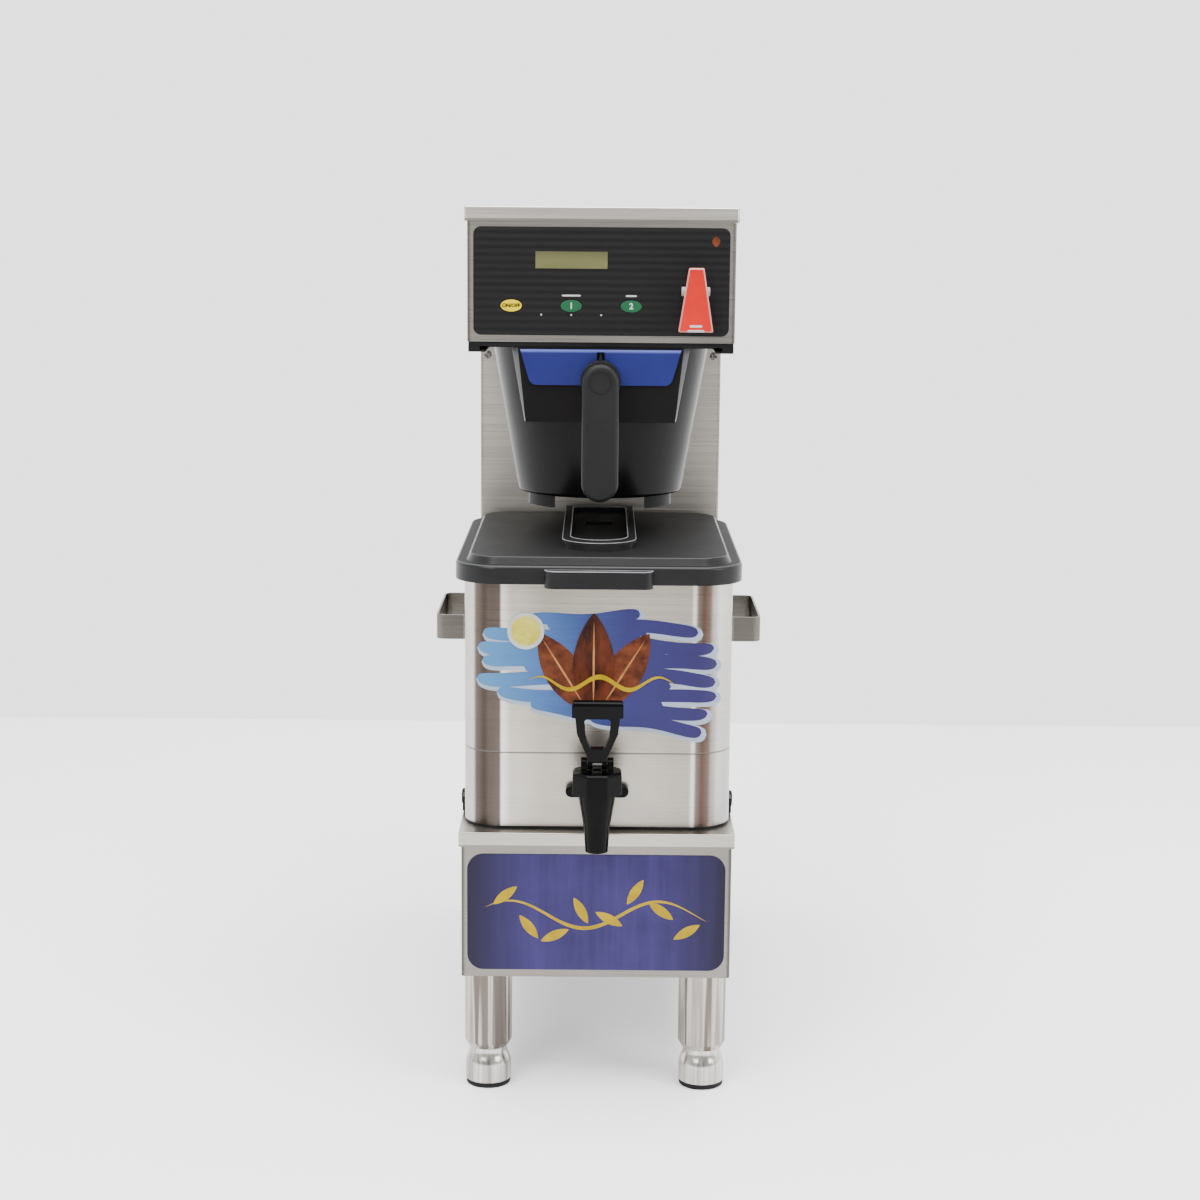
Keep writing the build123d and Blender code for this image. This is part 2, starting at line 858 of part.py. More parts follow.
with BuildPart() as valve_yoke:
    with BuildSketch(facing_right(lever_across - yoke_width / 2, pivot_y, pivot_z)):
        Circle(lug_radius)
        with Locations(((valve_front - pivot_y) / 2, 0)):
            Rectangle(valve_front - pivot_y, yoke_height)
    extrude(amount=yoke_width)
    with Locations((lever_across, pivot_y, pivot_z)):
        Box(lever_lug_width + 2 * free_gap, 2 * slot_depth, yoke_height, mode=Mode.SUBTRACT)
    with Locations(facing_right(lever_across, pivot_y, pivot_z)):
        Cylinder(yoke_pin_radius, yoke_width - 2 * yoke_pin_radius)
    with Locations(facing_back(pivot_y + slot_depth, lever_across, stem_z)):
        Cylinder(valve_stem_radius + turn_gap, valve_front - pivot_y, align=upward, mode=Mode.SUBTRACT)
save(valve_yoke, "valve_yoke")

bore_front = valve_front + valve_wall
disc_front = bore_front + slip_gap
bore_bottom = stem_z - valve_bore_radius
valve_top = pivot_z + valve_height / 2
spout_bottom = head_bottom - underpan_thickness

with BuildPart() as hot_water_stem:
    with Locations(facing_back(cam_y + slip_gap, lever_across, stem_z)):
        Cylinder(valve_stem_radius, disc_front - cam_y - slip_gap, align=upward)
    with Locations(facing_back(disc_front, lever_across, stem_z)):
        Cylinder(valve_disc_radius, valve_disc_thickness, align=upward)
save(hot_water_stem, "hot_water_stem")

with BuildPart() as hot_water_valve:
    with Locations((lever_across, valve_middle, pivot_z)):
        Box(valve_width, valve_depth, valve_height)
    fillet(hot_water_valve.edges().filter_by(Axis.Z), radius=valve_corner)
    with Locations(level(valve_top, valve_middle, lever_across)):
        Cylinder(barb_radius, valve_inlet_height, align=upward)
        Cylinder(valve_inlet_bore, 2 * valve_inlet_height, mode=Mode.SUBTRACT)
    with Locations(facing_back(valve_front, lever_across, stem_z)):
        Cylinder(valve_stem_radius + turn_gap, valve_bore_depth, align=upward, mode=Mode.SUBTRACT)
    with Locations(facing_back(bore_front, lever_across, stem_z)):
        Cylinder(valve_bore_radius, valve_bore_depth, align=upward, mode=Mode.SUBTRACT)
    with Locations(level(stem_z, valve_middle, lever_across)):
        Cylinder(hot_spout_radius + turn_gap, valve_height, align=downward, mode=Mode.SUBTRACT)
save(hot_water_valve, "hot_water_valve")

with BuildPart() as hot_water_spout:
    with BuildSketch(level(spout_bottom, valve_middle, lever_across)):
        Circle(hot_spout_radius)
        Circle(hot_spout_bore, mode=Mode.SUBTRACT)
    extrude(amount=bore_bottom - spout_bottom)
save(hot_water_spout, "hot_water_spout")


# Tray and rails under the head

underpan_bottom = head_bottom - underpan_thickness
underpan_front = head_front + sheet
underpan_back = column_front - slip_gap
underpan_half = half_shell - underpan_margin
underpan_middle = (underpan_front + underpan_back) / 2
rail_bottom = head_bottom - rail_depth

with BuildPart() as head_underpan:
    with BuildSketch(level(underpan_bottom)):
        with Locations((0, underpan_middle)):
            Rectangle(2 * underpan_half, underpan_back - underpan_front)
        with Locations((0, basket_y)):
            Circle(spray_radius + free_gap, mode=Mode.SUBTRACT)
        with Locations((lever_across, valve_middle)):
            Circle(hot_spout_radius + slip_gap, mode=Mode.SUBTRACT)
    extrude(amount=underpan_thickness)
save(head_underpan, "head_underpan")

stop_y = basket_y + basket_flange_length / 2 + free_gap + rail_stop / 2

with BuildPart() as basket_rails:
    for side in (-1, 1):
        with BuildSketch(facing_front(underpan_back)):
            with BuildLine():
                Polyline((side * underpan_half, rail_bottom), (side * rail_inner, rail_bottom),
                         (side * rail_inner, rail_bottom + rail_lip),
                         (side * rail_groove, rail_bottom + rail_lip), (side * rail_groove, underpan_bottom),
                         (side * underpan_half, underpan_bottom), close=True)
            make_face()
        extrude(amount=underpan_back - underpan_front)
        with Locations((side * (rail_inner + rail_groove) / 2, stop_y, underpan_bottom)):
            Box(rail_groove - rail_inner, rail_stop, underpan_bottom - rail_bottom, align=downward)
save(basket_rails, "basket_rails")


# Spray head, brew valve and hoses

head_floor = head_bottom + sheet
hose_z = head_floor + brew_valve_height / 2
spray_bottom = head_bottom - spray_thickness
brew_valve_y = front_y + brew_valve_setback
brew_valve_front = brew_valve_y - brew_valve_depth / 2
brew_valve_back = brew_valve_y + brew_valve_depth / 2

with BuildPart() as spray_head:
    add(turned([(0, head_bottom), (spray_radius, head_bottom), (spray_radius, head_bottom - spray_thickness / 2),
                (spray_tip_radius, spray_bottom), (0, spray_bottom)], 0, basket_y))
    with Locations(level(head_bottom, basket_y)):
        Cylinder(spray_stem_radius, hose_z + spray_stem_radius - head_bottom, align=upward)
        with PolarLocations(spray_radius / 2, spray_jet_count):
            Cylinder(spray_jet_radius, spray_thickness, align=downward, mode=Mode.SUBTRACT)
    with Locations(facing_back(basket_y, 0, hose_z)):
        Cylinder(barb_radius, spray_stem_radius + barb_length, align=upward)
save(spray_head, "spray_head")

with BuildPart() as brew_valve:
    with Locations(level(head_floor, brew_valve_y)):
        Box(brew_valve_width, brew_valve_depth, brew_valve_height, align=upward)
    with Locations(level(head_floor + brew_valve_height, brew_valve_y)):
        Cylinder(coil_radius, coil_height, align=upward)
    with Locations(facing_front(brew_valve_front, 0, hose_z), facing_back(brew_valve_back, 0, hose_z)):
        Cylinder(barb_radius, barb_length, align=upward)
save(brew_valve, "brew_valve")

tank_middle = column_front + sheet + tank_front_gap + tank_radius + tank_flange
tank_bottom = base_top + tank_stand
tank_top = tank_bottom + tank_height
tank_lid_top = tank_top + tank_lid_thickness
outlet_y = tank_middle - brew_outlet_setback
hot_hose_z = valve_top + valve_inlet_height + hose_bend

with BuildPart() as brew_hoses:
    add(hose([(0, basket_y + spray_stem_radius + slip_gap, hose_z), (0, brew_valve_front - slip_gap, hose_z)]))
    add(hose([(0, brew_valve_back + slip_gap, hose_z), (0, outlet_y, hose_z),
              (0, outlet_y, tank_lid_top + slip_gap)]))
save(brew_hoses, "brew_hoses")

with BuildPart() as hot_water_hose:
    add(hose([(hot_outlet_across, outlet_y, tank_lid_top + slip_gap), (hot_outlet_across, outlet_y, hot_hose_z),
              (lever_across, valve_middle, hot_hose_z), (lever_across, valve_middle, valve_top + slip_gap)]))
save(hot_water_hose, "hot_water_hose")


# Hot-water tank in the column

flange_radius = tank_radius + tank_flange
tank_back_at_inlet = tank_middle + math.sqrt(tank_radius ** 2 - inlet_across ** 2)

with BuildPart() as hot_water_tank:
    with Locations(level(tank_bottom, tank_middle)):
        Cylinder(tank_radius, tank_height, align=upward)
    with Locations(level(tank_top, tank_middle)):
        Cylinder(flange_radius, tank_wall, align=downward)
    with Locations(level(tank_bottom + tank_wall, tank_middle)):
        Cylinder(tank_radius - tank_wall, tank_height, align=upward, mode=Mode.SUBTRACT)
    with Locations(level(base_top, tank_middle)):
        with PolarLocations(tank_radius - tank_foot_width / 2, tank_foot_count, start_angle=45):
            Box(tank_foot_width / 2, tank_foot_width, tank_stand, align=upward)
    with Locations(facing_back(tank_middle, inlet_across, inlet_height)):
        Cylinder(nipple_radius + slip_gap, flange_radius, align=upward, mode=Mode.SUBTRACT)
save(hot_water_tank, "hot_water_tank")

with BuildPart() as tank_lid:
    with Locations(level(tank_top, tank_middle)):
        Cylinder(flange_radius, tank_lid_thickness, align=upward)
        Cylinder(element_spread + element_radius + slip_gap, tank_lid_thickness, align=upward,
                 mode=Mode.SUBTRACT)
    with Locations(level(tank_top, tank_middle, probe_across)):
        Cylinder(probe_radius + turn_gap, tank_lid_thickness, align=upward, mode=Mode.SUBTRACT)
    with Locations(level(tank_lid_top, outlet_y), level(tank_lid_top, outlet_y, hot_outlet_across)):
        Cylinder(barb_radius, barb_length, align=upward)
save(tank_lid, "tank_lid")

post_top = tank_lid_top + element_flange_thickness + element_post_height
element_bottom = tank_top - element_length

with BuildPart() as heating_element:
    with BuildLine() as element_path:
        Line((-element_spread, tank_middle, post_top), (-element_spread, tank_middle, element_bottom))
        ThreePointArc((-element_spread, tank_middle, element_bottom),
                      (0, tank_middle, element_bottom - element_spread),
                      (element_spread, tank_middle, element_bottom))
        Line((element_spread, tank_middle, element_bottom), (element_spread, tank_middle, post_top))
    with BuildSketch(level(post_top, tank_middle, -element_spread)):
        Circle(element_radius)
    sweep(path=element_path.line)
    with Locations(level(tank_lid_top, tank_middle)):
        Cylinder(element_flange_radius, element_flange_thickness, align=upward)
save(heating_element, "heating_element")

with BuildPart() as temperature_probe:
    with Locations(level(tank_lid_top, tank_middle, probe_across)):
        Cylinder(probe_radius, probe_length, align=downward)
        add(hex_nut(probe_hex_height, probe_hex_radius, probe_radius / 2))
save(temperature_probe, "temperature_probe")

inlet_valve_back = rear_plate_y - sheet
inlet_valve_front = inlet_valve_back - inlet_valve_depth
inlet_valve_middle = (inlet_valve_front + inlet_valve_back) / 2

with BuildPart() as inlet_valve:
    with Locations((inlet_across, inlet_valve_middle, inlet_height)):
        Box(inlet_valve_width, inlet_valve_depth, inlet_valve_height)
    fillet(inlet_valve.edges().filter_by(Axis.Z), radius=inlet_valve_corner)
    with Locations(level(inlet_height + inlet_valve_height / 2, inlet_valve_middle, inlet_across)):
        Cylinder(inlet_coil_radius, inlet_coil_height, align=upward)
    with Locations(facing_front(inlet_valve_front, inlet_across, inlet_height)):
        Cylinder(nipple_radius, inlet_valve_front - tank_back_at_inlet + nipple_reach, align=upward)
        Cylinder(inlet_bore, inlet_valve_front - tank_back_at_inlet + nipple_reach, align=upward,
                 mode=Mode.SUBTRACT)
save(inlet_valve, "inlet_valve")

with BuildPart() as water_inlet:
    with Locations(facing_back(inlet_valve_back, inlet_across, inlet_height)):
        Cylinder(inlet_shank_radius, back_y - inlet_valve_back, align=upward)
    with BuildSketch(facing_back(back_y, inlet_across, inlet_height)):
        RegularPolygon(inlet_hex_radius, 6, major_radius=False)
    extrude(amount=inlet_hex_height)
    with Locations(facing_back(back_y + inlet_hex_height, inlet_across, inlet_height)):
        Cylinder(inlet_thread_radius, inlet_thread_length, align=upward)
    with Locations(facing_back(inlet_valve_back, inlet_across, inlet_height)):
        Cylinder(inlet_bore, back_y - inlet_valve_back + inlet_reach, align=upward, mode=Mode.SUBTRACT)
save(water_inlet, "water_inlet")

with BuildPart() as cable_gland:
    with Locations(facing_back(rear_plate_y - gland_inside, gland_across, gland_height)):
        Cylinder(gland_radius, gland_inside + sheet, align=upward)
    with Locations(facing_back(back_y, gland_across, gland_height)):
        Cylinder(gland_flange_radius, gland_flange_thickness, align=upward)
        Cone(gland_radius, gland_tip_radius, gland_reach, align=upward)
        Cylinder(gland_bore, 2 * gland_reach + gland_inside, mode=Mode.SUBTRACT)
save(cable_gland, "cable_gland")


# Brew basket with its label, handle and wire frame

basket_top = underpan_bottom - basket_head_gap
basket_bottom = basket_top - basket_height
boss_bottom = basket_top - boss_height
boss_front = basket_y - boss_reach
inner_bottom = basket_bottom + basket_wall
wall_lean = (basket_top_radius - basket_bottom_radius) / basket_height
inner_bottom_radius = basket_bottom_radius + wall_lean * basket_wall - basket_wall
inner_top_radius = basket_top_radius - basket_wall


def boss_outline(margin, top):
    # Front boss, narrowing downwards; the margin makes the space inside its walls
    with BuildSketch() as outline:
        with BuildLine():
            Polyline((-boss_top_half + margin, top), (boss_top_half - margin, top),
                     (boss_bottom_half - margin, boss_bottom), (-boss_bottom_half + margin, boss_bottom),
                     close=True)
        make_face()
    return outline.sketch


with BuildPart() as brew_basket:
    with BuildSketch(facing_front(basket_y)):
        add(boss_outline(0, basket_top))
    extrude(amount=boss_reach)
    with BuildSketch(facing_front(basket_y)):
        add(boss_outline(basket_wall, basket_top - basket_wall))
    extrude(amount=boss_reach - basket_wall, mode=Mode.SUBTRACT)
    add(turned([(0, basket_bottom), (basket_bottom_radius, basket_bottom), (basket_top_radius, basket_top),
                (0, basket_top)], 0, basket_y))
    fillet(brew_basket.edges().group_by(Axis.Z)[0], radius=basket_edge_round)
    with Locations((0, basket_y, basket_top)):
        Box(2 * basket_flange_reach, basket_flange_length, basket_wall, align=downward)
    add(turned([(0, inner_bottom), (inner_bottom_radius, inner_bottom), (inner_top_radius, basket_top),
                (0, basket_top)], 0, basket_y), mode=Mode.SUBTRACT)
    with BuildSketch(level(basket_bottom, basket_y)):
        Circle(basket_foot_radius)
        Circle(basket_foot_radius - basket_foot_thickness, mode=Mode.SUBTRACT)
        Rectangle(2 * basket_foot_inner, 2 * basket_foot_radius, mode=Mode.SUBTRACT)
        with Locations((basket_foot_outer, 0), (-basket_foot_outer - basket_foot_radius, 0)):
            Rectangle(basket_foot_radius, 2 * basket_foot_radius, align=(Align.MIN, Align.CENTER),
                      mode=Mode.SUBTRACT)
    extrude(amount=-basket_foot_height)
    with Locations((0, basket_y, inner_bottom)):
        Cylinder(basket_outlet_radius, basket_outlet_height + basket_wall, align=downward)
        Cylinder(basket_outlet_bore, basket_outlet_height + basket_wall, align=downward, mode=Mode.SUBTRACT)
save(brew_basket, "brew_basket")

grip_z = basket_top - grip_centre_drop
label_top = basket_top - label_top_drop
label_bottom = label_top - label_height

with BuildPart() as basket_label:
    with BuildSketch(facing_front(boss_front)) as label_face:
        with BuildLine():
            Polyline((-label_top_half, label_top), (label_top_half, label_top),
                     (label_bottom_half, label_bottom), (-label_bottom_half, label_bottom), close=True)
        make_face()
        fillet(label_face.vertices().group_by(Axis.Y)[0], radius=label_corner)
        with Locations((0, grip_z)):
            Circle(grip_neck_radius + slip_gap, mode=Mode.SUBTRACT)
        with Locations((0, grip_z + grip_neck_radius)):
            Rectangle(grip_rib_width + 2 * slip_gap, 2 * grip_rib_height, mode=Mode.SUBTRACT)
    extrude(amount=label_thickness)
save(basket_label, "basket_label")

grip_back = boss_front - grip_stand_off
grip_front = grip_back - grip_thickness
grip_travel = grip_height - grip_width

with BuildPart() as basket_handle:
    with BuildSketch(facing_front(grip_back, 0, grip_z - grip_travel / 2)):
        SlotCenterToCenter(grip_travel, grip_width, rotation=90)
    extrude(amount=grip_thickness)
    fillet(basket_handle.faces().sort_by(Axis.Y)[0].edges(), radius=grip_round)
    fillet(basket_handle.faces().sort_by(Axis.Y)[-1].edges(), radius=grip_round)
    with BuildSketch(facing_front(boss_front, 0, grip_z)):
        Circle(grip_neck_radius)
    extrude(amount=grip_stand_off + grip_round)
    with BuildSketch(facing_front(boss_front, 0, grip_z + grip_neck_radius)):
        with BuildLine():
            Polyline((-grip_rib_width / 2, -grip_rib_height), (grip_rib_width / 2, -grip_rib_height),
                     (0, grip_rib_height), close=True)
        make_face()
    extrude(amount=grip_rib_length)
    with Locations(facing_front(grip_front, 0, grip_z)):
        Cylinder(grip_cap_radius, grip_cap_depth, align=downward, mode=Mode.SUBTRACT)
save(basket_handle, "basket_handle")

wire_low_z = inner_bottom + ring_size / 2 + slip_gap
wire_low_radius = inner_bottom_radius - wire_bottom_inset
wire_high_z = basket_top - wire_top_drop
wire_high_radius = inner_top_radius - wall_lean * wire_top_drop - wire_top_inset
wire_length = math.hypot(wire_high_radius - wire_low_radius, wire_high_z - wire_low_z)
wire_tilt = math.degrees(math.atan2(wire_high_radius - wire_low_radius, wire_high_z - wire_low_z))

with BuildPart() as filter_frame:
    for radius, height in ((wire_low_radius, wire_low_z), (wire_high_radius, wire_high_z)):
        with BuildSketch(level(height - ring_size / 2, basket_y)):
            Circle(radius + ring_size / 2)
            Circle(radius - ring_size / 2, mode=Mode.SUBTRACT)
        extrude(amount=ring_size)
    with Locations(level(wire_low_z, basket_y)):
        with PolarLocations(wire_low_radius, wire_count, start_angle=180 / wire_count):
            Cylinder(wire_radius, wire_length, rotation=(0, wire_tilt, 0), align=upward)
        Box(2 * wire_low_radius, 2 * wire_radius, 2 * wire_radius)
        Box(2 * wire_radius, 2 * wire_low_radius, 2 * wire_radius)
save(filter_frame, "filter_frame")


# Tea dispenser: tank, base ring and strap handles

tank_front = front_y + tank_setback
dispenser_middle = tank_front + dispenser_depth / 2
dispenser_half = dispenser_width / 2
ring_top = base_top + ring_height
rim_top = base_top + dispenser_height
faucet_y = tank_front - shank_reach
shank_z = base_top + shank_lift

with BuildPart() as dispenser_tank:
    add(sheet_box(dispenser_width, dispenser_depth, dispenser_middle, ring_top, rim_top - ring_top, sheet,
                  dispenser_corner - sheet, floor=sheet))
    with Locations(facing_front(tank_front + 2 * sheet, 0, shank_z)):
        Cylinder(shank_radius + slip_gap, 4 * sheet, align=upward, mode=Mode.SUBTRACT)
save(dispenser_tank, "dispenser_tank")

tab_middle = dispenser_half + side_tab_thickness / 2

with BuildPart() as dispenser_base:
    add(sheet_box(dispenser_width, dispenser_depth, dispenser_middle, base_top, ring_height, ring_border,
                  dispenser_corner - ring_border))
    with Locations((-tab_middle, tank_front + side_tab_setback, base_top),
                   (tab_middle, tank_front + side_tab_setback, base_top)):
        Box(side_tab_thickness, side_tab_length, side_tab_height, align=upward)
save(dispenser_base, "dispenser_base")

strap_middle = tank_front + strap_setback
strap_foot_step = (strap_length - strap_foot) / 2 - strap_thickness
inner_strap = strap_length - 2 * strap_thickness

with BuildPart() as handle_straps:
    with BuildSketch(level(base_top + strap_lift, strap_middle, dispenser_half)):
        RectangleRounded(2 * strap_reach, strap_length, strap_corner)
        RectangleRounded(2 * (strap_reach - strap_thickness), inner_strap, strap_corner - strap_thickness,
                         mode=Mode.SUBTRACT)
        with Locations((-strap_reach / 2, 0)):
            Rectangle(strap_reach, strap_length, mode=Mode.SUBTRACT)
        with Locations((strap_thickness / 2, strap_foot_step), (strap_thickness / 2, -strap_foot_step)):
            Rectangle(strap_thickness, strap_foot)
    extrude(amount=strap_height)
    mirror(about=Plane.YZ)
save(handle_straps, "handle_straps")


# Dispenser lid and its funnel piece

lid_bottom = rim_top - lid_skirt
ledge_top = rim_top + lid_ledge
crown_top = ledge_top + lid_rise
lid_width = dispenser_width + 2 * lid_side_overlap
lid_depth = dispenser_depth + lid_side_overlap + lid_front_overlap
lid_middle = dispenser_middle + (lid_side_overlap - lid_front_overlap) / 2
lid_front = tank_front - lid_front_overlap
rib_width = dispenser_width - 2 * (sheet + lid_rib_gap)
rib_depth = dispenser_depth - 2 * (sheet + lid_rib_gap)
rib_corner = dispenser_corner - sheet - lid_rib_gap
tab_bottom = lid_bottom - lid_tab_drop
tab_overlap = 2 * lid_tab_corner


def lid_outline(margin):
    RectangleRounded(lid_width - 2 * margin, lid_depth - 2 * margin, lid_corner - margin)


with BuildPart() as dispenser_lid:
    with BuildSketch(level(lid_bottom, lid_middle)):
        lid_outline(0)
    extrude(amount=ledge_top - lid_bottom)
    with BuildSketch(level(tab_bottom, lid_front - lid_tab_reach)):
        with Locations((0, (lid_tab_reach + tab_overlap) / 2)):
            RectangleRounded(lid_tab_width, lid_tab_reach + tab_overlap, lid_tab_corner)
    extrude(amount=lid_tab_height)
    with BuildSketch(level(tab_bottom, lid_middle)):
        lid_outline(lid_wall)
    extrude(amount=rim_top - tab_bottom, mode=Mode.SUBTRACT)
    fillet(dispenser_lid.faces().sort_by(Axis.Z)[-1].edges(), radius=lid_edge_round)
    with BuildSketch(level(ledge_top, lid_middle)):
        lid_outline(lid_ledge_width)
    extrude(amount=lid_rise, taper=lid_rise_taper)
    fillet(dispenser_lid.faces().sort_by(Axis.Z)[-1].edges(), radius=lid_crown_round)
    with BuildSketch(level(rim_top, dispenser_middle)):
        RectangleRounded(rib_width, rib_depth, rib_corner)
    extrude(amount=-lid_rib_height)
    with BuildSketch(level(rim_top - lid_rib_height, dispenser_middle)):
        RectangleRounded(rib_width - 2 * lid_rib_wall, rib_depth - 2 * lid_rib_wall, rib_corner - lid_rib_wall)
    extrude(amount=lid_rib_height + crown_top - rim_top - lid_wall, mode=Mode.SUBTRACT)
    with Locations((0, basket_y, crown_top)):
        Box(lid_slot_width, lid_slot_length, lid_wall, align=downward, mode=Mode.SUBTRACT)
save(dispenser_lid, "dispenser_lid")

funnel_front = front_y + funnel_front_setback
funnel_rear = front_y + funnel_rear_setback


def funnel_outline(half, front, rear):
    # Straight sides and rear, with a front that bows out
    with BuildSketch() as outline:
        with BuildLine():
            Polyline((-half, front), (-half, rear), (half, rear), (half, front))
            ThreePointArc((half, front), (0, front - funnel_bow), (-half, front))
        make_face()
    return outline.sketch


with BuildPart() as lid_funnel:
    with BuildSketch(level(crown_top)):
        add(funnel_outline(funnel_skirt_half, funnel_front, funnel_rear))
    extrude(amount=funnel_skirt_height)
    with BuildSketch(level(crown_top + funnel_skirt_height)):
        add(funnel_outline(funnel_flange_half, funnel_front, funnel_rear))
    extrude(amount=funnel_height - funnel_skirt_height)
    with BuildSketch(level(crown_top + funnel_floor)) as trough:
        add(funnel_outline(funnel_flange_half - funnel_side_rim, funnel_front + funnel_front_rim,
                           funnel_rear - funnel_side_rim))
        fillet(trough.vertices(), radius=funnel_corner)
    extrude(amount=funnel_height, mode=Mode.SUBTRACT)
    with Locations((0, basket_y, crown_top)):
        Box(funnel_slot_width, funnel_slot_length, funnel_height, mode=Mode.SUBTRACT)
save(lid_funnel, "lid_funnel")


# Faucet of the dispenser

tip_z = base_top - faucet_tip_drop
cone_z = base_top + faucet_cone_lift
seat_z = base_top + seat_lift
shoulder_z = base_top + faucet_shoulder_lift
collar_z = shoulder_z + faucet_collar_height
collar_radius = chamber_radius + faucet_collar_wall
bonnet_z = shoulder_z + bonnet_height
pin_z = bonnet_z + pin_lift
shank_front = faucet_y + shank_start
shank_step = shank_front + tail_depth
tail_radius = shank_radius - shank_wall
inner_wall = tank_front + sheet

with BuildPart() as faucet_body:
    add(turned([(0, tip_z), (faucet_tip_radius, tip_z), (faucet_cone_radius, cone_z),
                (faucet_top_radius, shoulder_z), (collar_radius, shoulder_z), (collar_radius, collar_z),
                (0, collar_z)], 0, faucet_y))
    with Locations(facing_back(faucet_y, 0, shank_z)):
        Cylinder(tail_radius, shank_start + tail_depth, align=upward)
    with Locations(level(collar_z, faucet_y)):
        Cylinder(chamber_radius, collar_z - seat_z, align=downward, mode=Mode.SUBTRACT)
        Cylinder(spout_bore, collar_z - tip_z, align=downward, mode=Mode.SUBTRACT)
    with Locations(facing_back(faucet_y, 0, shank_z)):
        Cylinder(tail_bore, shank_start + tail_depth, align=upward, mode=Mode.SUBTRACT)
save(faucet_body, "faucet_body")

with BuildPart() as faucet_shank:
    with Locations(facing_back(shank_front, 0, shank_z)):
        Cylinder(shank_radius, inner_wall - shank_front, align=upward)
    with Locations(facing_back(inner_wall, 0, shank_z)):
        Cylinder(shank_flange_radius, shank_flange_thickness, align=upward)
        Cylinder(tail_bore, 2 * (inner_wall - shank_step), mode=Mode.SUBTRACT)
    with Locations(facing_back(shank_front, 0, shank_z)):
        Cylinder(tail_radius + turn_gap, tail_depth + slip_gap, align=upward, mode=Mode.SUBTRACT)
save(faucet_shank, "faucet_shank")

with BuildPart() as wing_nut:
    with BuildSketch(facing_front(tank_front, 0, shank_z)):
        SlotOverall(2 * wing_reach, wing_height)
        Circle(wing_radius)
        Circle(shank_radius + turn_gap, mode=Mode.SUBTRACT)
    extrude(amount=wing_thickness)
    fillet(wing_nut.faces().sort_by(Axis.Y)[0].outer_wire().edges(), radius=wing_round)
save(wing_nut, "wing_nut")

with BuildPart() as faucet_bonnet:
    with BuildSketch(level(shoulder_z, faucet_y)):
        RegularPolygon(bonnet_width / 2, bonnet_sides, major_radius=False, rotation=180 / bonnet_sides)
    extrude(amount=bonnet_height)
    chamfer(faucet_bonnet.faces().sort_by(Axis.Z)[-1].edges(), length=bonnet_bevel)
    for side in (-1, 1):
        with BuildSketch(facing_right(side * (cheek_inner + cheek_outer) / 2, faucet_y, pin_z)):
            Circle(cheek_radius)
            with Locations((0, -pin_lift)):
                Rectangle(2 * cheek_half_depth, pin_lift, align=(Align.CENTER, Align.MIN))
            Circle(pin_radius + slip_gap, mode=Mode.SUBTRACT)
        extrude(amount=(cheek_outer - cheek_inner) / 2, both=True)
    with Locations(level(shoulder_z, faucet_y)):
        Cylinder(collar_radius + turn_gap, bonnet_height - bonnet_roof, align=upward, mode=Mode.SUBTRACT)
        Cylinder(stem_radius + turn_gap, bonnet_height, align=upward, mode=Mode.SUBTRACT)
save(faucet_bonnet, "faucet_bonnet")

with BuildPart() as lever_pin:
    with Locations(facing_right(0, faucet_y, pin_z)):
        Cylinder(pin_radius, 2 * cheek_outer)
save(lever_pin, "lever_pin")

stem_bottom = seat_z + seat_cup_height / 2

with BuildPart() as faucet_stem:
    with Locations(level(seat_z + slip_gap, faucet_y)):
        Cylinder(seat_cup_radius, seat_cup_height, align=upward)
    with Locations(level(stem_bottom, faucet_y)):
        Cylinder(stem_radius, bonnet_z - stem_top_drop - stem_bottom, align=upward)
save(faucet_stem, "faucet_stem")

lean = math.radians(lever_lean)
lever_plane = Plane(origin=(0, faucet_y, pin_z), x_dir=(1, 0, 0), z_dir=(0, -math.cos(lean), -math.sin(lean)))
lever_edge = [(lever_neck_half, 0), (lever_neck_half, lever_neck_top), (lever_shoulder_half, lever_shoulder_lift),
              (lever_ring_half, lever_bar_lift)]
lever_hole = [(lever_hole_bottom_half, lever_hole_bottom), (lever_hole_middle_half, lever_hole_middle),
              (lever_hole_top_half, lever_hole_top)]


def both_sides(points):
    # Closed outline from the points of its right half, given from the bottom to the top
    return points + [(-across, height) for across, height in reversed(points)]


with BuildPart() as faucet_lever:
    with BuildSketch(lever_plane):
        with BuildLine():
            Polyline(*both_sides(lever_edge), close=True)
        make_face()
    extrude(amount=lever_depth / 2, both=True)
    with BuildSketch(lever_plane) as hole_face:
        with BuildLine():
            Polyline(*both_sides(lever_hole), close=True)
        make_face()
        fillet(hole_face.vertices(), radius=lever_hole_round)
    extrude(amount=lever_depth, both=True, mode=Mode.SUBTRACT)
    with BuildSketch(lever_plane):
        with Locations((0, lever_bar_lift + lever_bar_height / 2)):
            Rectangle(2 * lever_bar_half, lever_bar_height)
    extrude(amount=lever_bar_depth / 2, both=True)
    fillet(faucet_lever.faces().sort_by(Axis.Z)[-1].edges(), radius=lever_bar_round)
    with Locations(facing_right(0, faucet_y, pin_z)):
        Cylinder(lever_hub_radius, 2 * lever_neck_half)
        Cylinder(pin_radius + turn_gap, 2 * lever_neck_half, mode=Mode.SUBTRACT)
    with Locations((0, faucet_y, pin_z + pin_radius)):
        Box(2 * (stem_radius + free_gap), 2 * lever_hub_radius, lever_hub_radius + 2 * pin_radius, align=downward,
            mode=Mode.SUBTRACT)
save(faucet_lever, "faucet_lever")
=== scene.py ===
import json
import math

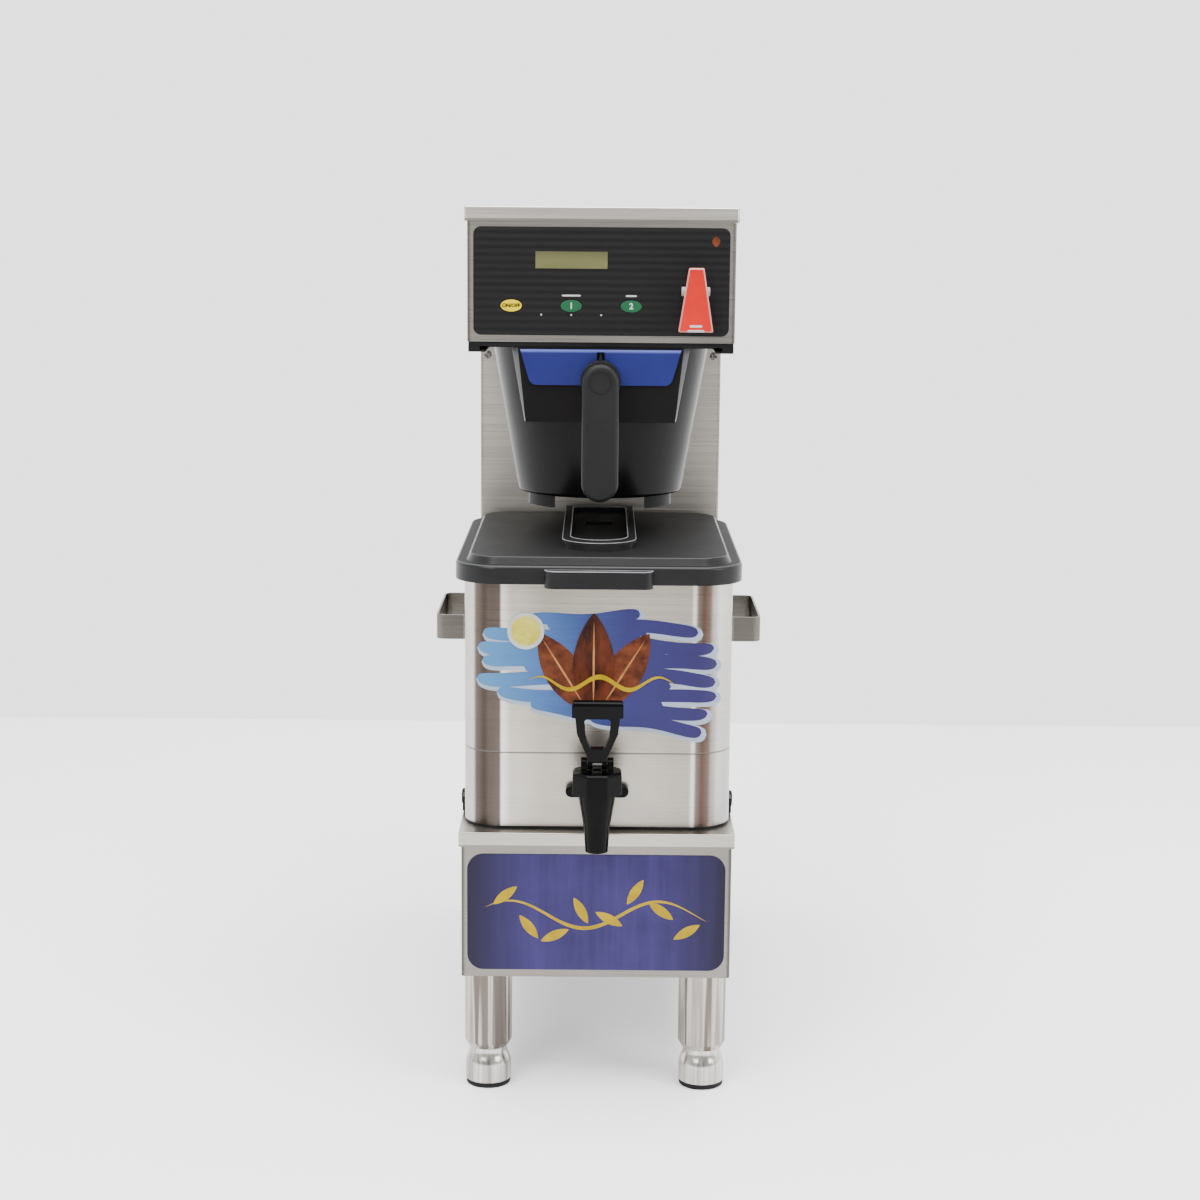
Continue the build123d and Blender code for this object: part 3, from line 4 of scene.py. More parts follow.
import bpy
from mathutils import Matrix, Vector


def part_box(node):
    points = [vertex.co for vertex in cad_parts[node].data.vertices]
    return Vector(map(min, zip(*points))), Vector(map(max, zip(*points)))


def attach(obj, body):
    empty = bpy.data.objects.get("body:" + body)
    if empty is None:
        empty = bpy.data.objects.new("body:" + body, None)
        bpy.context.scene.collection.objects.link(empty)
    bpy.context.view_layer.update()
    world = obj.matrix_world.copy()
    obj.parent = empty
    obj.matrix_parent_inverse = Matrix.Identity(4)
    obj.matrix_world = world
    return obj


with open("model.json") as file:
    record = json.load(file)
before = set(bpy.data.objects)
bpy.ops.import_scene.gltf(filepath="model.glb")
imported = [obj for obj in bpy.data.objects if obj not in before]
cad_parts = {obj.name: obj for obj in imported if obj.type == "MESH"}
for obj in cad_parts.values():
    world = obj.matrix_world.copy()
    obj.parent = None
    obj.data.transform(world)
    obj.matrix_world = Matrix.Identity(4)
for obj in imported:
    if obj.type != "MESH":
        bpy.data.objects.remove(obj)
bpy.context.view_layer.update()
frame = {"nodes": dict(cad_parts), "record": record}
nodes = frame["nodes"]


class Flow:  # a shader socket that can be added, scaled and compared
    def __init__(self, paint, socket):
        self.paint = paint
        self.socket = socket

    def sum(self, operation, *values):
        return self.paint.node("ShaderNodeMath", {"operation": operation}, dict(enumerate(values)))

    def __add__(self, other):
        return self.sum("ADD", self, other)

    def __radd__(self, other):
        return self.sum("ADD", other, self)

    def __sub__(self, other):
        return self.sum("SUBTRACT", self, other)

    def __rsub__(self, other):
        return self.sum("SUBTRACT", other, self)

    def __mul__(self, other):
        return self.sum("MULTIPLY", self, other)

    def __abs__(self):
        return self.sum("ABSOLUTE", self)

    def __lt__(self, other):
        return self.sum("LESS_THAN", self, other)

    def __gt__(self, other):
        return self.sum("GREATER_THAN", self, other)


shaderSockets = {"colour": "Base Color", "rough": "Roughness", "metal": "Metallic", "normal": "Normal",
                 "specular": "Specular IOR Level"}


class Paint:  # one material while it is being made
    def __init__(self, name):
        self.material = bpy.data.materials.new(name)
        self.material.use_nodes = True
        self.tree = self.material.node_tree
        self.shader = self.tree.nodes["Principled BSDF"]
        self.place = self.node("ShaderNodeTexCoord", output="Object")

    def node(self, kind, settings=None, inputs=None, output=0):
        made = self.tree.nodes.new(kind)
        for key, value in (settings or {}).items():
            if key == "stops":
                self.fillRamp(made.color_ramp.elements, value)
            else:
                setattr(made, key, value)
        for key, value in (inputs or {}).items():
            self.feed(made.inputs[key], value)
        return Flow(self, made.outputs[output])

    def fillRamp(self, elements, stops):
        while len(elements) < len(stops):
            elements.new(0.5)
        for element, (position, colour) in zip(elements, stops):
            element.position = position
            element.color = (*colour, 1.0)

    def feed(self, socket, value):
        if isinstance(value, Flow):
            self.tree.links.new(value.socket, socket)
        else:
            socket.default_value = value

    def axis(self, name, source=None):
        return self.node("ShaderNodeSeparateXYZ", inputs={0: source or self.place}, output=name)

    def normal(self, name):
        return self.axis(name, self.node("ShaderNodeTexCoord", output="Normal"))

    def noise(self, scale, detail=4.0, roughness=0.55):
        spot = self.node("ShaderNodeMapping", inputs={"Vector": self.place, "Scale": scale})
        settings = {"noise_dimensions": "3D"}
        return self.node("ShaderNodeTexNoise", settings,
                         {"Vector": spot, "Scale": 1.0, "Detail": detail, "Roughness": roughness})

    def ramp(self, value, stops, smooth="LINEAR"):
        made = self.node("ShaderNodeValToRGB", {"stops": stops}, {0: value})
        made.socket.node.color_ramp.interpolation = smooth
        return made

    def mix(self, amount, first, second, way="MIX"):
        start, end = [(*colour, 1.0) if isinstance(colour, tuple) else colour for colour in (first, second)]
        settings = {"data_type": "RGBA", "blend_type": way}
        return self.node("ShaderNodeMix", settings, {0: amount, 6: start, 7: end}, output=2)

    def product(self, first, second):
        return self.mix(1.0, first, second, "MULTIPLY")

    def between(self, value, low, high):  # 0 at low, 1 at high, held outside
        limits = {"Value": value, "From Min": low, "From Max": high}
        return self.node("ShaderNodeMapRange", {"clamp": True}, limits)

    def bump(self, height, strength, distance=0.0005):
        values = {"Height": height, "Strength": strength, "Distance": distance}
        return self.node("ShaderNodeBump", inputs=values)

    def finish(self, **looks):
        for key, value in looks.items():
            if key == "colour" and isinstance(value, tuple):
                value = (*value, 1.0)
            self.feed(self.shader.inputs[shaderSockets[key]], value)
        return self.material


# Steel

sheetLook = {"dark": (0.35, 0.328, 0.294), "light": (0.49, 0.461, 0.412), "rough": 0.31, "along": 6.0,
             "across": 900.0, "cloud": 7.0}
sheetLightByHeight = [  # height, and the painted light on the front from there up
    (0.0, 0.44), (0.236, 0.88), (0.2505, 1.38), (0.690, 0.74), (0.8015, 1.45)]
# where the painted shade falls: the front's corners off the lips and lid, and the strap handles
sheetShadeMarks = {"lidFrom": 0.8015, "lip": (0.236, 0.2505), "corner": (0.1206, 0.1228), "depth": 0.62,
              "strapFrom": 0.1282, "strap": (0.32, 0.312, 0.305)}
plainLook = {"dark": (0.25, 0.24, 0.225), "light": (0.40, 0.385, 0.36), "rough": 0.38, "along": 9.0,
             "across": 700.0, "cloud": 12.0}


def sheetPaintedLight(paint):  # painted light and shade: the front is lighter or darker by height, with painted shade at its corners and on the straps
    up, out = paint.axis("Z"), abs(paint.axis("X"))
    front = paint.between(paint.normal("Y"), -0.2, -0.6)
    stops = [(height, (heightLight / 2,) * 3) for height, heightLight in sheetLightByHeight]
    heightLight = paint.mix(front, (0.5, 0.5, 0.5), paint.ramp(up, stops, "CONSTANT"))
    lipLow, lipHigh = sheetShadeMarks["lip"]
    offLips = (up < sheetShadeMarks["lidFrom"]) * (1 - (up > lipLow) * (up < lipHigh))
    cornerShade = paint.between(out, *sheetShadeMarks["corner"]) * front * offLips
    cornerShaded = paint.mix(cornerShade * sheetShadeMarks["depth"], heightLight, (0.0, 0.0, 0.0))
    onStrap = out > sheetShadeMarks["strapFrom"]
    return paint.mix(onStrap, paint.product(cornerShaded, (2.0, 2.0, 2.0)), sheetShadeMarks["strap"])


def brushedSteel(name, look):
    paint = Paint(name)
    along, across = look["along"], look["across"]
    wall = paint.noise((along, along, across), 3.0)
    deck = paint.noise((along, across, along), 3.0)
    lying = paint.between(abs(paint.normal("Z")), 0.4, 0.8)
    grain = wall + lying * (deck - wall)
    cloud = paint.noise((look["cloud"],) * 3, 2.0)
    shade = paint.between(grain * 0.55 + cloud * 0.45, 0.32, 0.68)
    colour = paint.mix(shade, look["dark"], look["light"])
    if look is sheetLook:
        colour = paint.product(colour, sheetPaintedLight(paint))
    return paint.finish(colour=colour, metal=1.0,
                        rough=look["rough"] + (grain - 0.5) * 0.22, normal=paint.bump(grain, 0.12))


# Across the tank's front, the bright and dark stops are painted reflections of its rounded corners; lit is
# a painted light, darker low down and lighter high up
tankLook = {
    "half": 0.1235,
    "seamHeight": 0.3225,
    "lit": (0.25, 0.47),
    "stops": [(-123.5, (0.44, 0.42, 0.39)), (-115, (0.54, 0.52, 0.48)), (-111.5, (0.10, 0.082, 0.070)),
              (-104, (0.058, 0.045, 0.037)), (-99, (0.090, 0.073, 0.062)), (-90, (0.115, 0.093, 0.079)),
              (-87.5, (0.88, 0.84, 0.77)), (-78, (0.56, 0.52, 0.45)), (-45, (0.43, 0.40, 0.345)),
              (40, (0.45, 0.42, 0.365)), (84, (0.40, 0.37, 0.32)), (87.5, (0.82, 0.78, 0.71)),
              (91, (0.16, 0.13, 0.11)), (96, (0.096, 0.062, 0.047)), (101, (0.120, 0.083, 0.066)),
              (106, (0.30, 0.28, 0.255)), (111, (0.50, 0.485, 0.46)), (123.5, (0.44, 0.425, 0.40))],
}


def tankSteel():
    paint = Paint("tankSteel")
    half = tankLook["half"]
    across = paint.axis("X")
    stops = [((value / 1000 + half) / (2 * half), colour) for value, colour in tankLook["stops"]]
    # painted reflections across the front
    bands = paint.ramp((across + half) * (0.5 / half), stops, "EASE")
    grain = paint.noise((5.0, 5.0, 1000.0), 3.0)
    cloud = paint.noise((9.0, 9.0, 14.0), 3.0)
    shade = paint.between(grain * 0.4 + cloud * 0.6, 0.3, 0.7)
    # painted light: darker low down, lighter high up
    lit = paint.between(paint.axis("Z"), *tankLook["lit"])
    light = paint.mix(lit, (0.74, 0.74, 0.75), (1.16, 1.15, 1.13))
    streaks = paint.mix(shade, (0.80, 0.80, 0.80), (1.14, 1.14, 1.14))
    grainReflectionsAndLight = paint.product(paint.product(bands, light), streaks)
    offSeam = paint.between(abs(paint.axis("Z") - tankLook["seamHeight"]), 0.0, 0.0011)
    seamed = paint.mix(offSeam, (0.10, 0.09, 0.08), grainReflectionsAndLight)
    return paint.finish(colour=seamed, metal=1.0, rough=0.30 + (grain - 0.5) * 0.2,
                        normal=paint.bump(grain * 0.3 + offSeam, 0.15))


# dark and bright streaks that stand in as painted reflections in the round tubes
legReflections = {
    "stops": [(0.34, (0.050, 0.038, 0.030)), (0.40, (0.11, 0.088, 0.073)), (0.45, (0.40, 0.375, 0.335)),
              (0.51, (0.19, 0.172, 0.153)), (0.56, (0.44, 0.415, 0.375)), (0.63, (0.085, 0.067, 0.055))],
}


def reflectionStreakedSteel(name, rough, stretch, gloss=0.10):
    paint = Paint(name)
    streaks = paint.noise((stretch, stretch, 1.5), 2.0)
    grain = paint.noise((260.0, 260.0, 4.0), 2.0)
    # bright fine streaks, scaled by gloss, mixed in as a painted sheen
    colour = paint.mix(grain * gloss, paint.ramp(streaks, legReflections["stops"]), (0.78, 0.75, 0.70))
    return paint.finish(colour=colour, metal=1.0, rough=rough + (grain - 0.5) * 0.15,
                        normal=paint.bump(grain, 0.05))


def screwSteel():
    paint = Paint("screwSteel")
    # dark all over as painted shade, with random light flecks as painted glints
    shadeAndGlintSpeckle = paint.noise((500.0, 500.0, 500.0), 3.0)
    colour = paint.ramp(shadeAndGlintSpeckle, [(0.38, (0.05, 0.046, 0.042)), (0.60, (0.33, 0.315, 0.295))])
    return paint.finish(colour=colour, metal=1.0, rough=0.22 + shadeAndGlintSpeckle * 0.25)


# Plastics, rubber and prints

def moulded(name, colour, rough, grainSize=1400.0, grainDepth=0.12, metal=0.0, gloss=0.15):
    paint = Paint(name)
    grain = paint.noise((grainSize,) * 3, 2.0)
    cloud = paint.noise((16.0,) * 3, 3.0)
    shade = paint.between(cloud, 0.3, 0.7)
    low = tuple(part * 0.85 for part in colour)
    high = tuple(part * 1.15 for part in colour)
    worn = rough + (grain - 0.5) * 0.12 + (cloud - 0.5) * 0.08
    return paint.finish(colour=paint.mix(shade, low, high), rough=worn, metal=metal, specular=gloss,
                        normal=paint.bump(grain, grainDepth, 0.0002))


def basketPlastic():  # smoky and glossy, with painted light making it lighter where it turns away and on its flat front
    paint = Paint("basketPlastic")
    sideHighlight = paint.between(abs(paint.normal("X")), 0.35, 1.0)
    cloud = paint.noise((22.0, 22.0, 9.0), 3.0)
    colour = paint.mix(sideHighlight, (0.0016, 0.0015, 0.0015), (0.010, 0.010, 0.0105))
    flatFrontHighlight = paint.between(paint.normal("Y"), -0.985, -0.998)
    front = paint.mix(flatFrontHighlight, colour, (0.0068, 0.0066, 0.0065))
    shaded = paint.mix(paint.between(cloud, 0.45, 0.75) * 0.35, front, (0.007, 0.0045, 0.0038))
    return paint.finish(colour=shaded, rough=0.20 + (cloud - 0.5) * 0.1, specular=0.085)


def overlayFace():
    paint = Paint("overlayFace")
    lines = paint.node("ShaderNodeTexWave", {"wave_type": "BANDS", "bands_direction": "Z"},
                       {"Vector": paint.place, "Scale": 46.0, "Distortion": 0.0})
    drift = paint.noise((6.0, 6.0, 60.0), 2.0)
    colour = paint.mix(lines * 0.5 + drift * 0.5, (0.0026, 0.0026, 0.0027), (0.0068, 0.0065, 0.0065))
    return paint.finish(colour=colour, rough=0.34 + lines * 0.08, specular=0.2,
                        normal=paint.bump(lines, 0.06, 0.0002))


def panelPrint():
    paint = Paint("panelPrint")
    across = abs(paint.axis("X"))
    streak = paint.noise((90.0, 3.0, 5.0), 4.0)
    cloud = paint.noise((14.0, 3.0, 18.0), 4.0)
    colour = paint.mix(paint.between(streak * 0.5 + cloud * 0.5, 0.36, 0.64), (0.0145, 0.0100, 0.050),
                       (0.029, 0.0215, 0.098))
    ends = paint.between(across + (cloud - 0.5) * 0.03, 0.062, 0.118)
    shaded = paint.mix(ends * 0.85, colour, (0.0055, 0.0042, 0.0085))
    return paint.finish(colour=shaded, rough=0.33 + streak * 0.08, specular=0.15)


def bandPrint():  # sky blue on the left runs to purple on the right
    paint = Paint("bandPrint")
    along = paint.between(paint.axis("X"), -0.112, 0.112)
    streak = paint.noise((30.0, 3.0, 260.0), 3.0)
    colours = paint.ramp(along + (streak - 0.5) * 0.10, [
        (0.05, (0.048, 0.150, 0.29)), (0.28, (0.036, 0.088, 0.225)), (0.46, (0.024, 0.040, 0.135)),
        (0.62, (0.020, 0.0195, 0.092)), (0.95, (0.0165, 0.0115, 0.062))])
    return paint.finish(colour=colours, rough=0.34 + streak * 0.1, specular=0.2)


def leafPrint(name, dark, light, across, up):
    paint = Paint(name)
    cloud = paint.noise((across, 30.0, up), 5.0, 0.65)
    colour = paint.mix(paint.between(cloud, 0.34, 0.66), dark, light)
    return paint.finish(colour=colour, rough=0.34 + cloud * 0.1, specular=0.14)


def leverRed():  # its bevelled edges get a painted highlight
    paint = Paint("leverRed")
    facing = paint.normal("Y") * -1.0
    paintedEdgeHighlight = (facing < 0.93) * (facing > 0.3)
    cloud = paint.noise((40.0,) * 3, 3.0)
    body = paint.mix(paint.between(cloud, 0.3, 0.7), (0.34, 0.0050, 0.0025), (0.42, 0.0090, 0.0050))
    return paint.finish(colour=paint.mix(paintedEdgeHighlight * 0.75, body, (0.42, 0.20, 0.17)), rough=0.32, specular=0.3)


def lidPlastic(name, gloss):  # painted shade darkens the flat tops, which are also duller than the rims, and the edges get a painted highlight scaled by gloss
    paint = Paint(name)
    lying = abs(paint.normal("Z"))
    top = paint.between(lying, 0.75, 0.97)
    paintedEdgeHighlight = (lying < 0.97) * (lying > 0.80)
    grain = paint.noise((1500.0,) * 3, 2.0)
    cloud = paint.noise((16.0,) * 3, 3.0)
    body = paint.mix(paint.between(cloud, 0.3, 0.7), (0.0085, 0.0085, 0.0088), (0.0118, 0.0118, 0.0122))
    faces = paint.mix(top * 0.9, body, (0.0016, 0.0016, 0.0016))
    return paint.finish(colour=paint.mix(paintedEdgeHighlight * gloss, faces, (0.13, 0.13, 0.135)), specular=0.17,
                        rough=0.26 + top * 0.32 + (cloud - 0.5) * 0.08,
                        normal=paint.bump(grain, 0.12, 0.0002))


def plateBlue():  # a painted highlight along its upper border
    paint = Paint("plateBlue")
    cloud = paint.noise((14.0,) * 3, 3.0)
    body = paint.mix(paint.between(cloud, 0.3, 0.7), (0.0058, 0.0080, 0.082), (0.0078, 0.0112, 0.105))
    top = paint.between(paint.axis("Z"), 0.6815, 0.6838)
    topHighlighted = paint.mix(top, body, (0.085, 0.105, 0.34))
    return paint.finish(colour=topHighlighted, rough=0.24 + cloud * 0.05, specular=0.4)


def lampBoard():  # green board, pale lamp tips where they stand forward
    paint = Paint("lampBoard")
    tip = paint.axis("Y") < -0.1575
    cloud = paint.noise((120.0,) * 3, 3.0)
    board = paint.mix(cloud, (0.006, 0.03, 0.013), (0.015, 0.06, 0.027))
    tipped = paint.mix(tip, board, (0.24, 0.24, 0.23))
    return paint.finish(colour=tipped, rough=0.35 + cloud * 0.1)


def displayFace():
    paint = Paint("displayFace")
    # large noise as a painted sheen, and painted shade darker towards the top
    sheen = paint.noise((12.0, 12.0, 40.0), 2.0)
    colour = paint.mix(paint.between(sheen, 0.3, 0.7), (0.078, 0.077, 0.030), (0.100, 0.098, 0.042))
    shaded = paint.mix(paint.between(paint.axis("Z"), 0.7665, 0.7752) * 0.45, colour, (0.030, 0.029, 0.014))
    return paint.finish(colour=shaded, rough=0.16 + sheen * 0.06, specular=0.3)


print("materials: steel, plastics and prints")
finishes = {
    "sheet_steel": brushedSteel("sheetSteel", sheetLook),
    "plain_steel": brushedSteel("plainSteel", plainLook),
    "element_steel": reflectionStreakedSteel("elementSteel", 0.4, 60.0),
    "wire_steel": reflectionStreakedSteel("wireSteel", 0.2, 30.0),
    "leg_steel": reflectionStreakedSteel("legSteel", 0.24, 75.0),
    "foot_steel": reflectionStreakedSteel("footSteel", 0.20, 55.0, 0.8),
    "tank_steel": tankSteel(),
    "screw_steel": screwSteel(),
    "panel_print": panelPrint(),
    "rubber_black": moulded("footRubber", (0.006, 0.006, 0.006), 0.62, 700.0, 0.3),
    "grey_nylon": moulded("greyNylon", (0.030, 0.030, 0.032), 0.5),
    "brass": moulded("inletBrass", (0.30, 0.19, 0.065), 0.3, 900.0, 0.08, metal=1.0),
    "black_trim": moulded("trimBlack", (0.0035, 0.0035, 0.0035), 0.45),
    "overlay_face": overlayFace(),
    "display_glass": displayFace(),
    "circuit_board": lampBoard(),
    "white_plastic": moulded("yokeWhite", (0.30, 0.295, 0.28), 0.4),
    "valve_plastic": moulded("valveGrey", (0.016, 0.016, 0.018), 0.5),
    "silicone": moulded("hoseSilicone", (0.22, 0.205, 0.17), 0.45),
    "yellow_button": moulded("buttonYellow", (0.46, 0.345, 0.0008), 0.32, gloss=0.2),
    "green_button": moulded("buttonGreen", (0.0055, 0.062, 0.025), 0.32, gloss=0.25),
    "red_plastic": leverRed(),
    "basket_plastic": basketPlastic(),
    "blue_plate": plateBlue(),
    "handle_plastic": moulded("gripBlack", (0.0080, 0.0080, 0.0082), 0.48, 1100.0, 0.25),
    "black_plastic": moulded("ringBlack", (0.0035, 0.0035, 0.0035), 0.45),
    "lid_plastic": lidPlastic("lidBlack", 0.30),
    "faucet_plastic": moulded("faucetBlack", (0.0012, 0.0012, 0.0012), 0.11, 900.0, 0.02, gloss=0.055),
    "faucet_lever_plastic": moulded("faucetLeverBlack", (0.0013, 0.0013, 0.0013), 0.12, 900.0, 0.02,
                                    gloss=0.07),
}
ownFinishes = {"lid_funnel": lidPlastic("funnelBlack", 1.0)}  # nodes that differ from their slot; the funnel gets the full painted highlight on its rounded rims
whitePrint = moulded("whitePrint", (0.33, 0.33, 0.325), 0.5)
darkPrint = moulded("darkPrint", (0.003, 0.003, 0.0025), 0.5)
palePrint = moulded("palePrint", (0.225, 0.265, 0.33), 0.45)
yellowPrint = leafPrint("yellowPrint", (0.23, 0.150, 0.0002), (0.31, 0.212, 0.0004), 60.0, 60.0)
sunPrint = leafPrint("sunPrint", (0.33, 0.29, 0.025), (0.45, 0.42, 0.09), 45.0, 45.0)
amberPrint = leafPrint("amberPrint", (0.010, 0.0022, 0.0008), (0.075, 0.0155, 0.0045), 75.0, 28.0)
rustPrint = leafPrint("rustPrint", (0.024, 0.0048, 0.0016), (0.120, 0.030, 0.010), 45.0, 60.0)
veinPrint = leafPrint("veinPrint", (0.20, 0.075, 0.022), (0.33, 0.15, 0.05), 80.0, 80.0)


# CAD nodes: finish, and smooth shading with crisp edges

softEdges = {  # width of the rounding, in metres
    "dispenser_lid": 0.0014,
    "base_top": 0.0009, "head_lid": 0.0009,
    "control_overlay": 0.0008, "base_panel": 0.0003, "handle_straps": 0.0004, "basket_label": 0.0006,
    "brew_basket": 0.0016, "dispenser_base": 0.0004, "lid_funnel": 0.0015, "faucet_bonnet": 0.0006,
    "faucet_lever": 0.0009, "faucet_body": 0.0003, "wing_nut": 0.0005, "head_underpan": 0.0004,
}


shading = {"weld": 0.000002, "round": 40, "crease": 38}  # metres, and the angles of an edge


def shadeNode(node, name):
    node.data.polygons.foreach_set("use_smooth", [True] * len(node.data.polygons))
    weld = node.modifiers.new("weld", "WELD")
    weld.merge_threshold = shading["weld"]
    if name in softEdges:
        bevel = node.modifiers.new("bevel", "BEVEL")
        bevel.width = softEdges[name]
        bevel.segments = 2
        bevel.limit_method = "ANGLE"
        bevel.angle_limit = math.radians(shading["round"])
        bevel.use_clamp_overlap = True
    crease = node.modifiers.new("crease", "EDGE_SPLIT")
    crease.split_angle = math.radians(shading["crease"])
    even = node.modifiers.new("even", "WEIGHTED_NORMAL")  # keeps the flat faces flat
    even.keep_sharp = True


for row in frame["record"]["subparts"]:
    node = nodes[row["node"]]
    node.data.materials.clear()
    node.data.materials.append(ownFinishes.get(row["node"], finishes[row["material_slot"]]))
    shadeNode(node, row["node"])
print("nodes finished:", len(nodes))


# Prints: each mark starts as a flat grid, is drawn out to its shape and wrapped on its node

def deselectAll():
    bpy.ops.object.select_all(action="DESELECT")


def applyAll(piece):
    bpy.context.view_layer.objects.active = piece
    for modifier in list(piece.modifiers):
        bpy.ops.object.modifier_apply(modifier=modifier.name)


endShapes = {
    "leaf": lambda along: math.sin(math.pi * along) ** 0.8,
    "disc": lambda along: math.sqrt(max(0.0, 1 - (2 * along - 1) ** 2)),
    "brush": lambda along: math.sqrt(max(0.0, 1 - abs(2 * along - 1) ** 14)),
}


inkLook = {"from": -0.34, "lift": 0.00004, "layer": 0.00006, "thick": 0.00004}  # metres


def printMark(name, mark, layer, finish, body, target):
    deselectAll()
    bpy.ops.mesh.primitive_grid_add(x_subdivisions=mark.get("cuts", 40), y_subdivisions=6, size=1.0)
    piece = bpy.context.active_object
    piece.name = piece.data.name = name
    turn = math.radians(mark.get("turn", 0.0))
    across, height = mark["centre"]
    for point in piece.data.vertices:
        along = point.co.x + 0.5
        reach = (along - 0.5) * mark["length"]
        rise = 2 * point.co.y * mark["width"] / 2 * endShapes[mark["ends"]](along)
        swing = 2 * math.pi * (mark.get("waves", 1.0) * along + mark.get("phase", 0.0))
        rise += mark.get("wave", 0.0) * math.sin(swing)
        point.co = ((across + reach * math.cos(turn) - rise * math.sin(turn)) / 1000, inkLook["from"],
                    (height + reach * math.sin(turn) + rise * math.cos(turn)) / 1000)
    wrap = piece.modifiers.new("wrap", "SHRINKWRAP")
    wrap.target = nodes[target]
    wrap.wrap_method = "PROJECT"
    wrap.use_project_y = True
    wrap.use_positive_direction = True
    wrap.use_negative_direction = False
    wrap.offset = inkLook["lift"] + inkLook["layer"] * layer
    applyAll(piece)
    ink = piece.modifiers.new("ink", "SOLIDIFY")
    ink.thickness = inkLook["thick"]
    ink.offset = 1.0
    applyAll(piece)
    piece.data.materials.append(finish)
    bpy.ops.object.shade_smooth_by_angle(angle=math.radians(30))
    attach(piece, body)


# Decal of the dispenser: wavy bands, three leaves, a pale sun and a yellow line

decalBands = [  # middle across, middle height, length, width, wave, start of the wave, turn
    (-14, 448, 104, 11, 1.6, 0.1, 3), (22, 440, 138, 12, 2.0, 0.5, -2), (-30, 434, 150, 12, 2.2, 0.3, 2),
    (28, 426, 156, 12, 2.4, 0.8, -4), (-24, 420, 172, 13, 2.0, 0.6, -1), (24, 411, 170, 13, 2.6, 0.2, -5),
    (-26, 405, 160, 12, 2.2, 0.9, -3), (20, 396, 176, 13, 2.4, 0.4, -4), (-22, 390, 178, 13, 2.6, 0.7, -2),
    (30, 381, 158, 12, 2.2, 0.1, -6), (-16, 375, 152, 12, 2.4, 0.5, -4), (26, 366, 150, 12, 2.0, 0.8, -5),
    (-4, 361, 116, 11, 2.2, 0.2, -5), (44, 351, 104, 12, 1.8, 0.6, -8),
]
decalLeaves = [  # middle across, middle height, length, width, turn
    (-31, 397, 88, 34, 122), (23, 397, 88, 34, 58), (-4, 404, 98, 38, 90)]
decalSun = {"centre": (-66, 436), "length": 34, "width": 34}
decalSunCore = {"centre": (-66, 436), "length": 27, "width": 27}
decalLine = {"centre": (4, 388), "length": 136, "width": 4.6, "wave": 6.0, "waves": 2.5, "phase": 0.05}


def decalMark(name, shape, layer, finish):
    printMark(name, shape, layer, finish, "dispenser", "dispenser_tank")


bandFinish = bandPrint()
for index, (across, height, length, width, wave, phase, turn) in enumerate(decalBands):
    band = {"centre": (across, height), "length": length, "width": width, "wave": wave, "waves": 1.2,
            "phase": phase, "turn": turn, "ends": "brush", "cuts": 80}
    rim = dict(band, centre=(across + 2, height - 2), length=length + 5, width=width + 4)
    decalMark(f"decal_rim_{index + 1}", rim, index % 3, palePrint)
    decalMark(f"decal_band_{index + 1}", band, 3 + index % 3, bandFinish)
for index, (across, height, length, width, turn) in enumerate(decalLeaves):
    leaf = {"centre": (across, height), "length": length, "width": width, "turn": turn, "ends": "leaf"}
    finish = rustPrint if index < 2 else amberPrint
    vein = dict(leaf, length=length * 0.84, width=1.9)
    decalMark(f"decal_leaf_{index + 1}", leaf, 6 + 2 * index, finish)
    decalMark(f"decal_vein_{index + 1}", vein, 7 + 2 * index, veinPrint)
decalMark("decal_sun", dict(decalSun, ends="disc"), 12, whitePrint)
decalMark("decal_sun_core", dict(decalSunCore, ends="disc"), 13, sunPrint)
decalMark("decal_line", dict(decalLine, ends="leaf"), 14, yellowPrint)
print("dispenser decal done")


# Panel of the base: a yellow vine

vineStem = {"centre": (0, 172), "length": 206, "width": 3.6, "wave": 13.0, "waves": 1.5, "phase": 0.08}
vineLeaves = [  # middle across, middle height, turn
    (-84, 190, 38), (-62, 160, -52), (-38, 152, 24), (-14, 176, 118), (12, 168, -28), (36, 194, 58),
    (60, 176, -36), (84, 156, 30)]
vineLeaf = {"length": 28, "width": 9}

printMark("panel_stem", dict(vineStem, ends="leaf", cuts=110), 0, yellowPrint, "frame", "base_panel")
for index, (across, height, turn) in enumerate(vineLeaves):
    mark = dict(vineLeaf, centre=(across, height), turn=turn, ends="leaf")
    printMark(f"panel_leaf_{index + 1}", mark, 1, yellowPrint, "frame", "base_panel")
print("base panel done")


# Control face: words and numbers on the buttons, bars above them and on the lever, a drop mark

wordLook = {"lift": 0.00002, "bold": 0.00022, "thick": 0.00008}  # metres
buttonMarks = [("on_off_word", "on_off_button", "ON/OFF", 4.6, darkPrint),
               ("coffee_number", "coffee_button", "1", 7.8, whitePrint),
               ("tea_number", "tea_button", "2", 7.8, whitePrint)]


def writeOn(name, node, words, size, finish):
    low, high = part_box(node)
    deselectAll()
    place = ((low.x + high.x) / 2, low.y + wordLook["lift"], (low.z + high.z) / 2)
    bpy.ops.object.text_add(location=place, rotation=(math.pi / 2, 0, 0))
    piece = bpy.context.active_object
    piece.name = name
    piece.data.body = words
    piece.data.size = size / 1000
    piece.data.align_x = "CENTER"
    piece.data.align_y = "CENTER"
    piece.data.offset = wordLook["bold"]
    piece.data.extrude = wordLook["thick"]
    piece.data.materials.append(finish)
    bpy.ops.object.convert(target="MESH")
    bpy.ops.object.transform_apply(location=True, rotation=True, scale=True)
    piece.data.name = name
    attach(piece, node)


for mark in buttonMarks:
    writeOn(*mark)

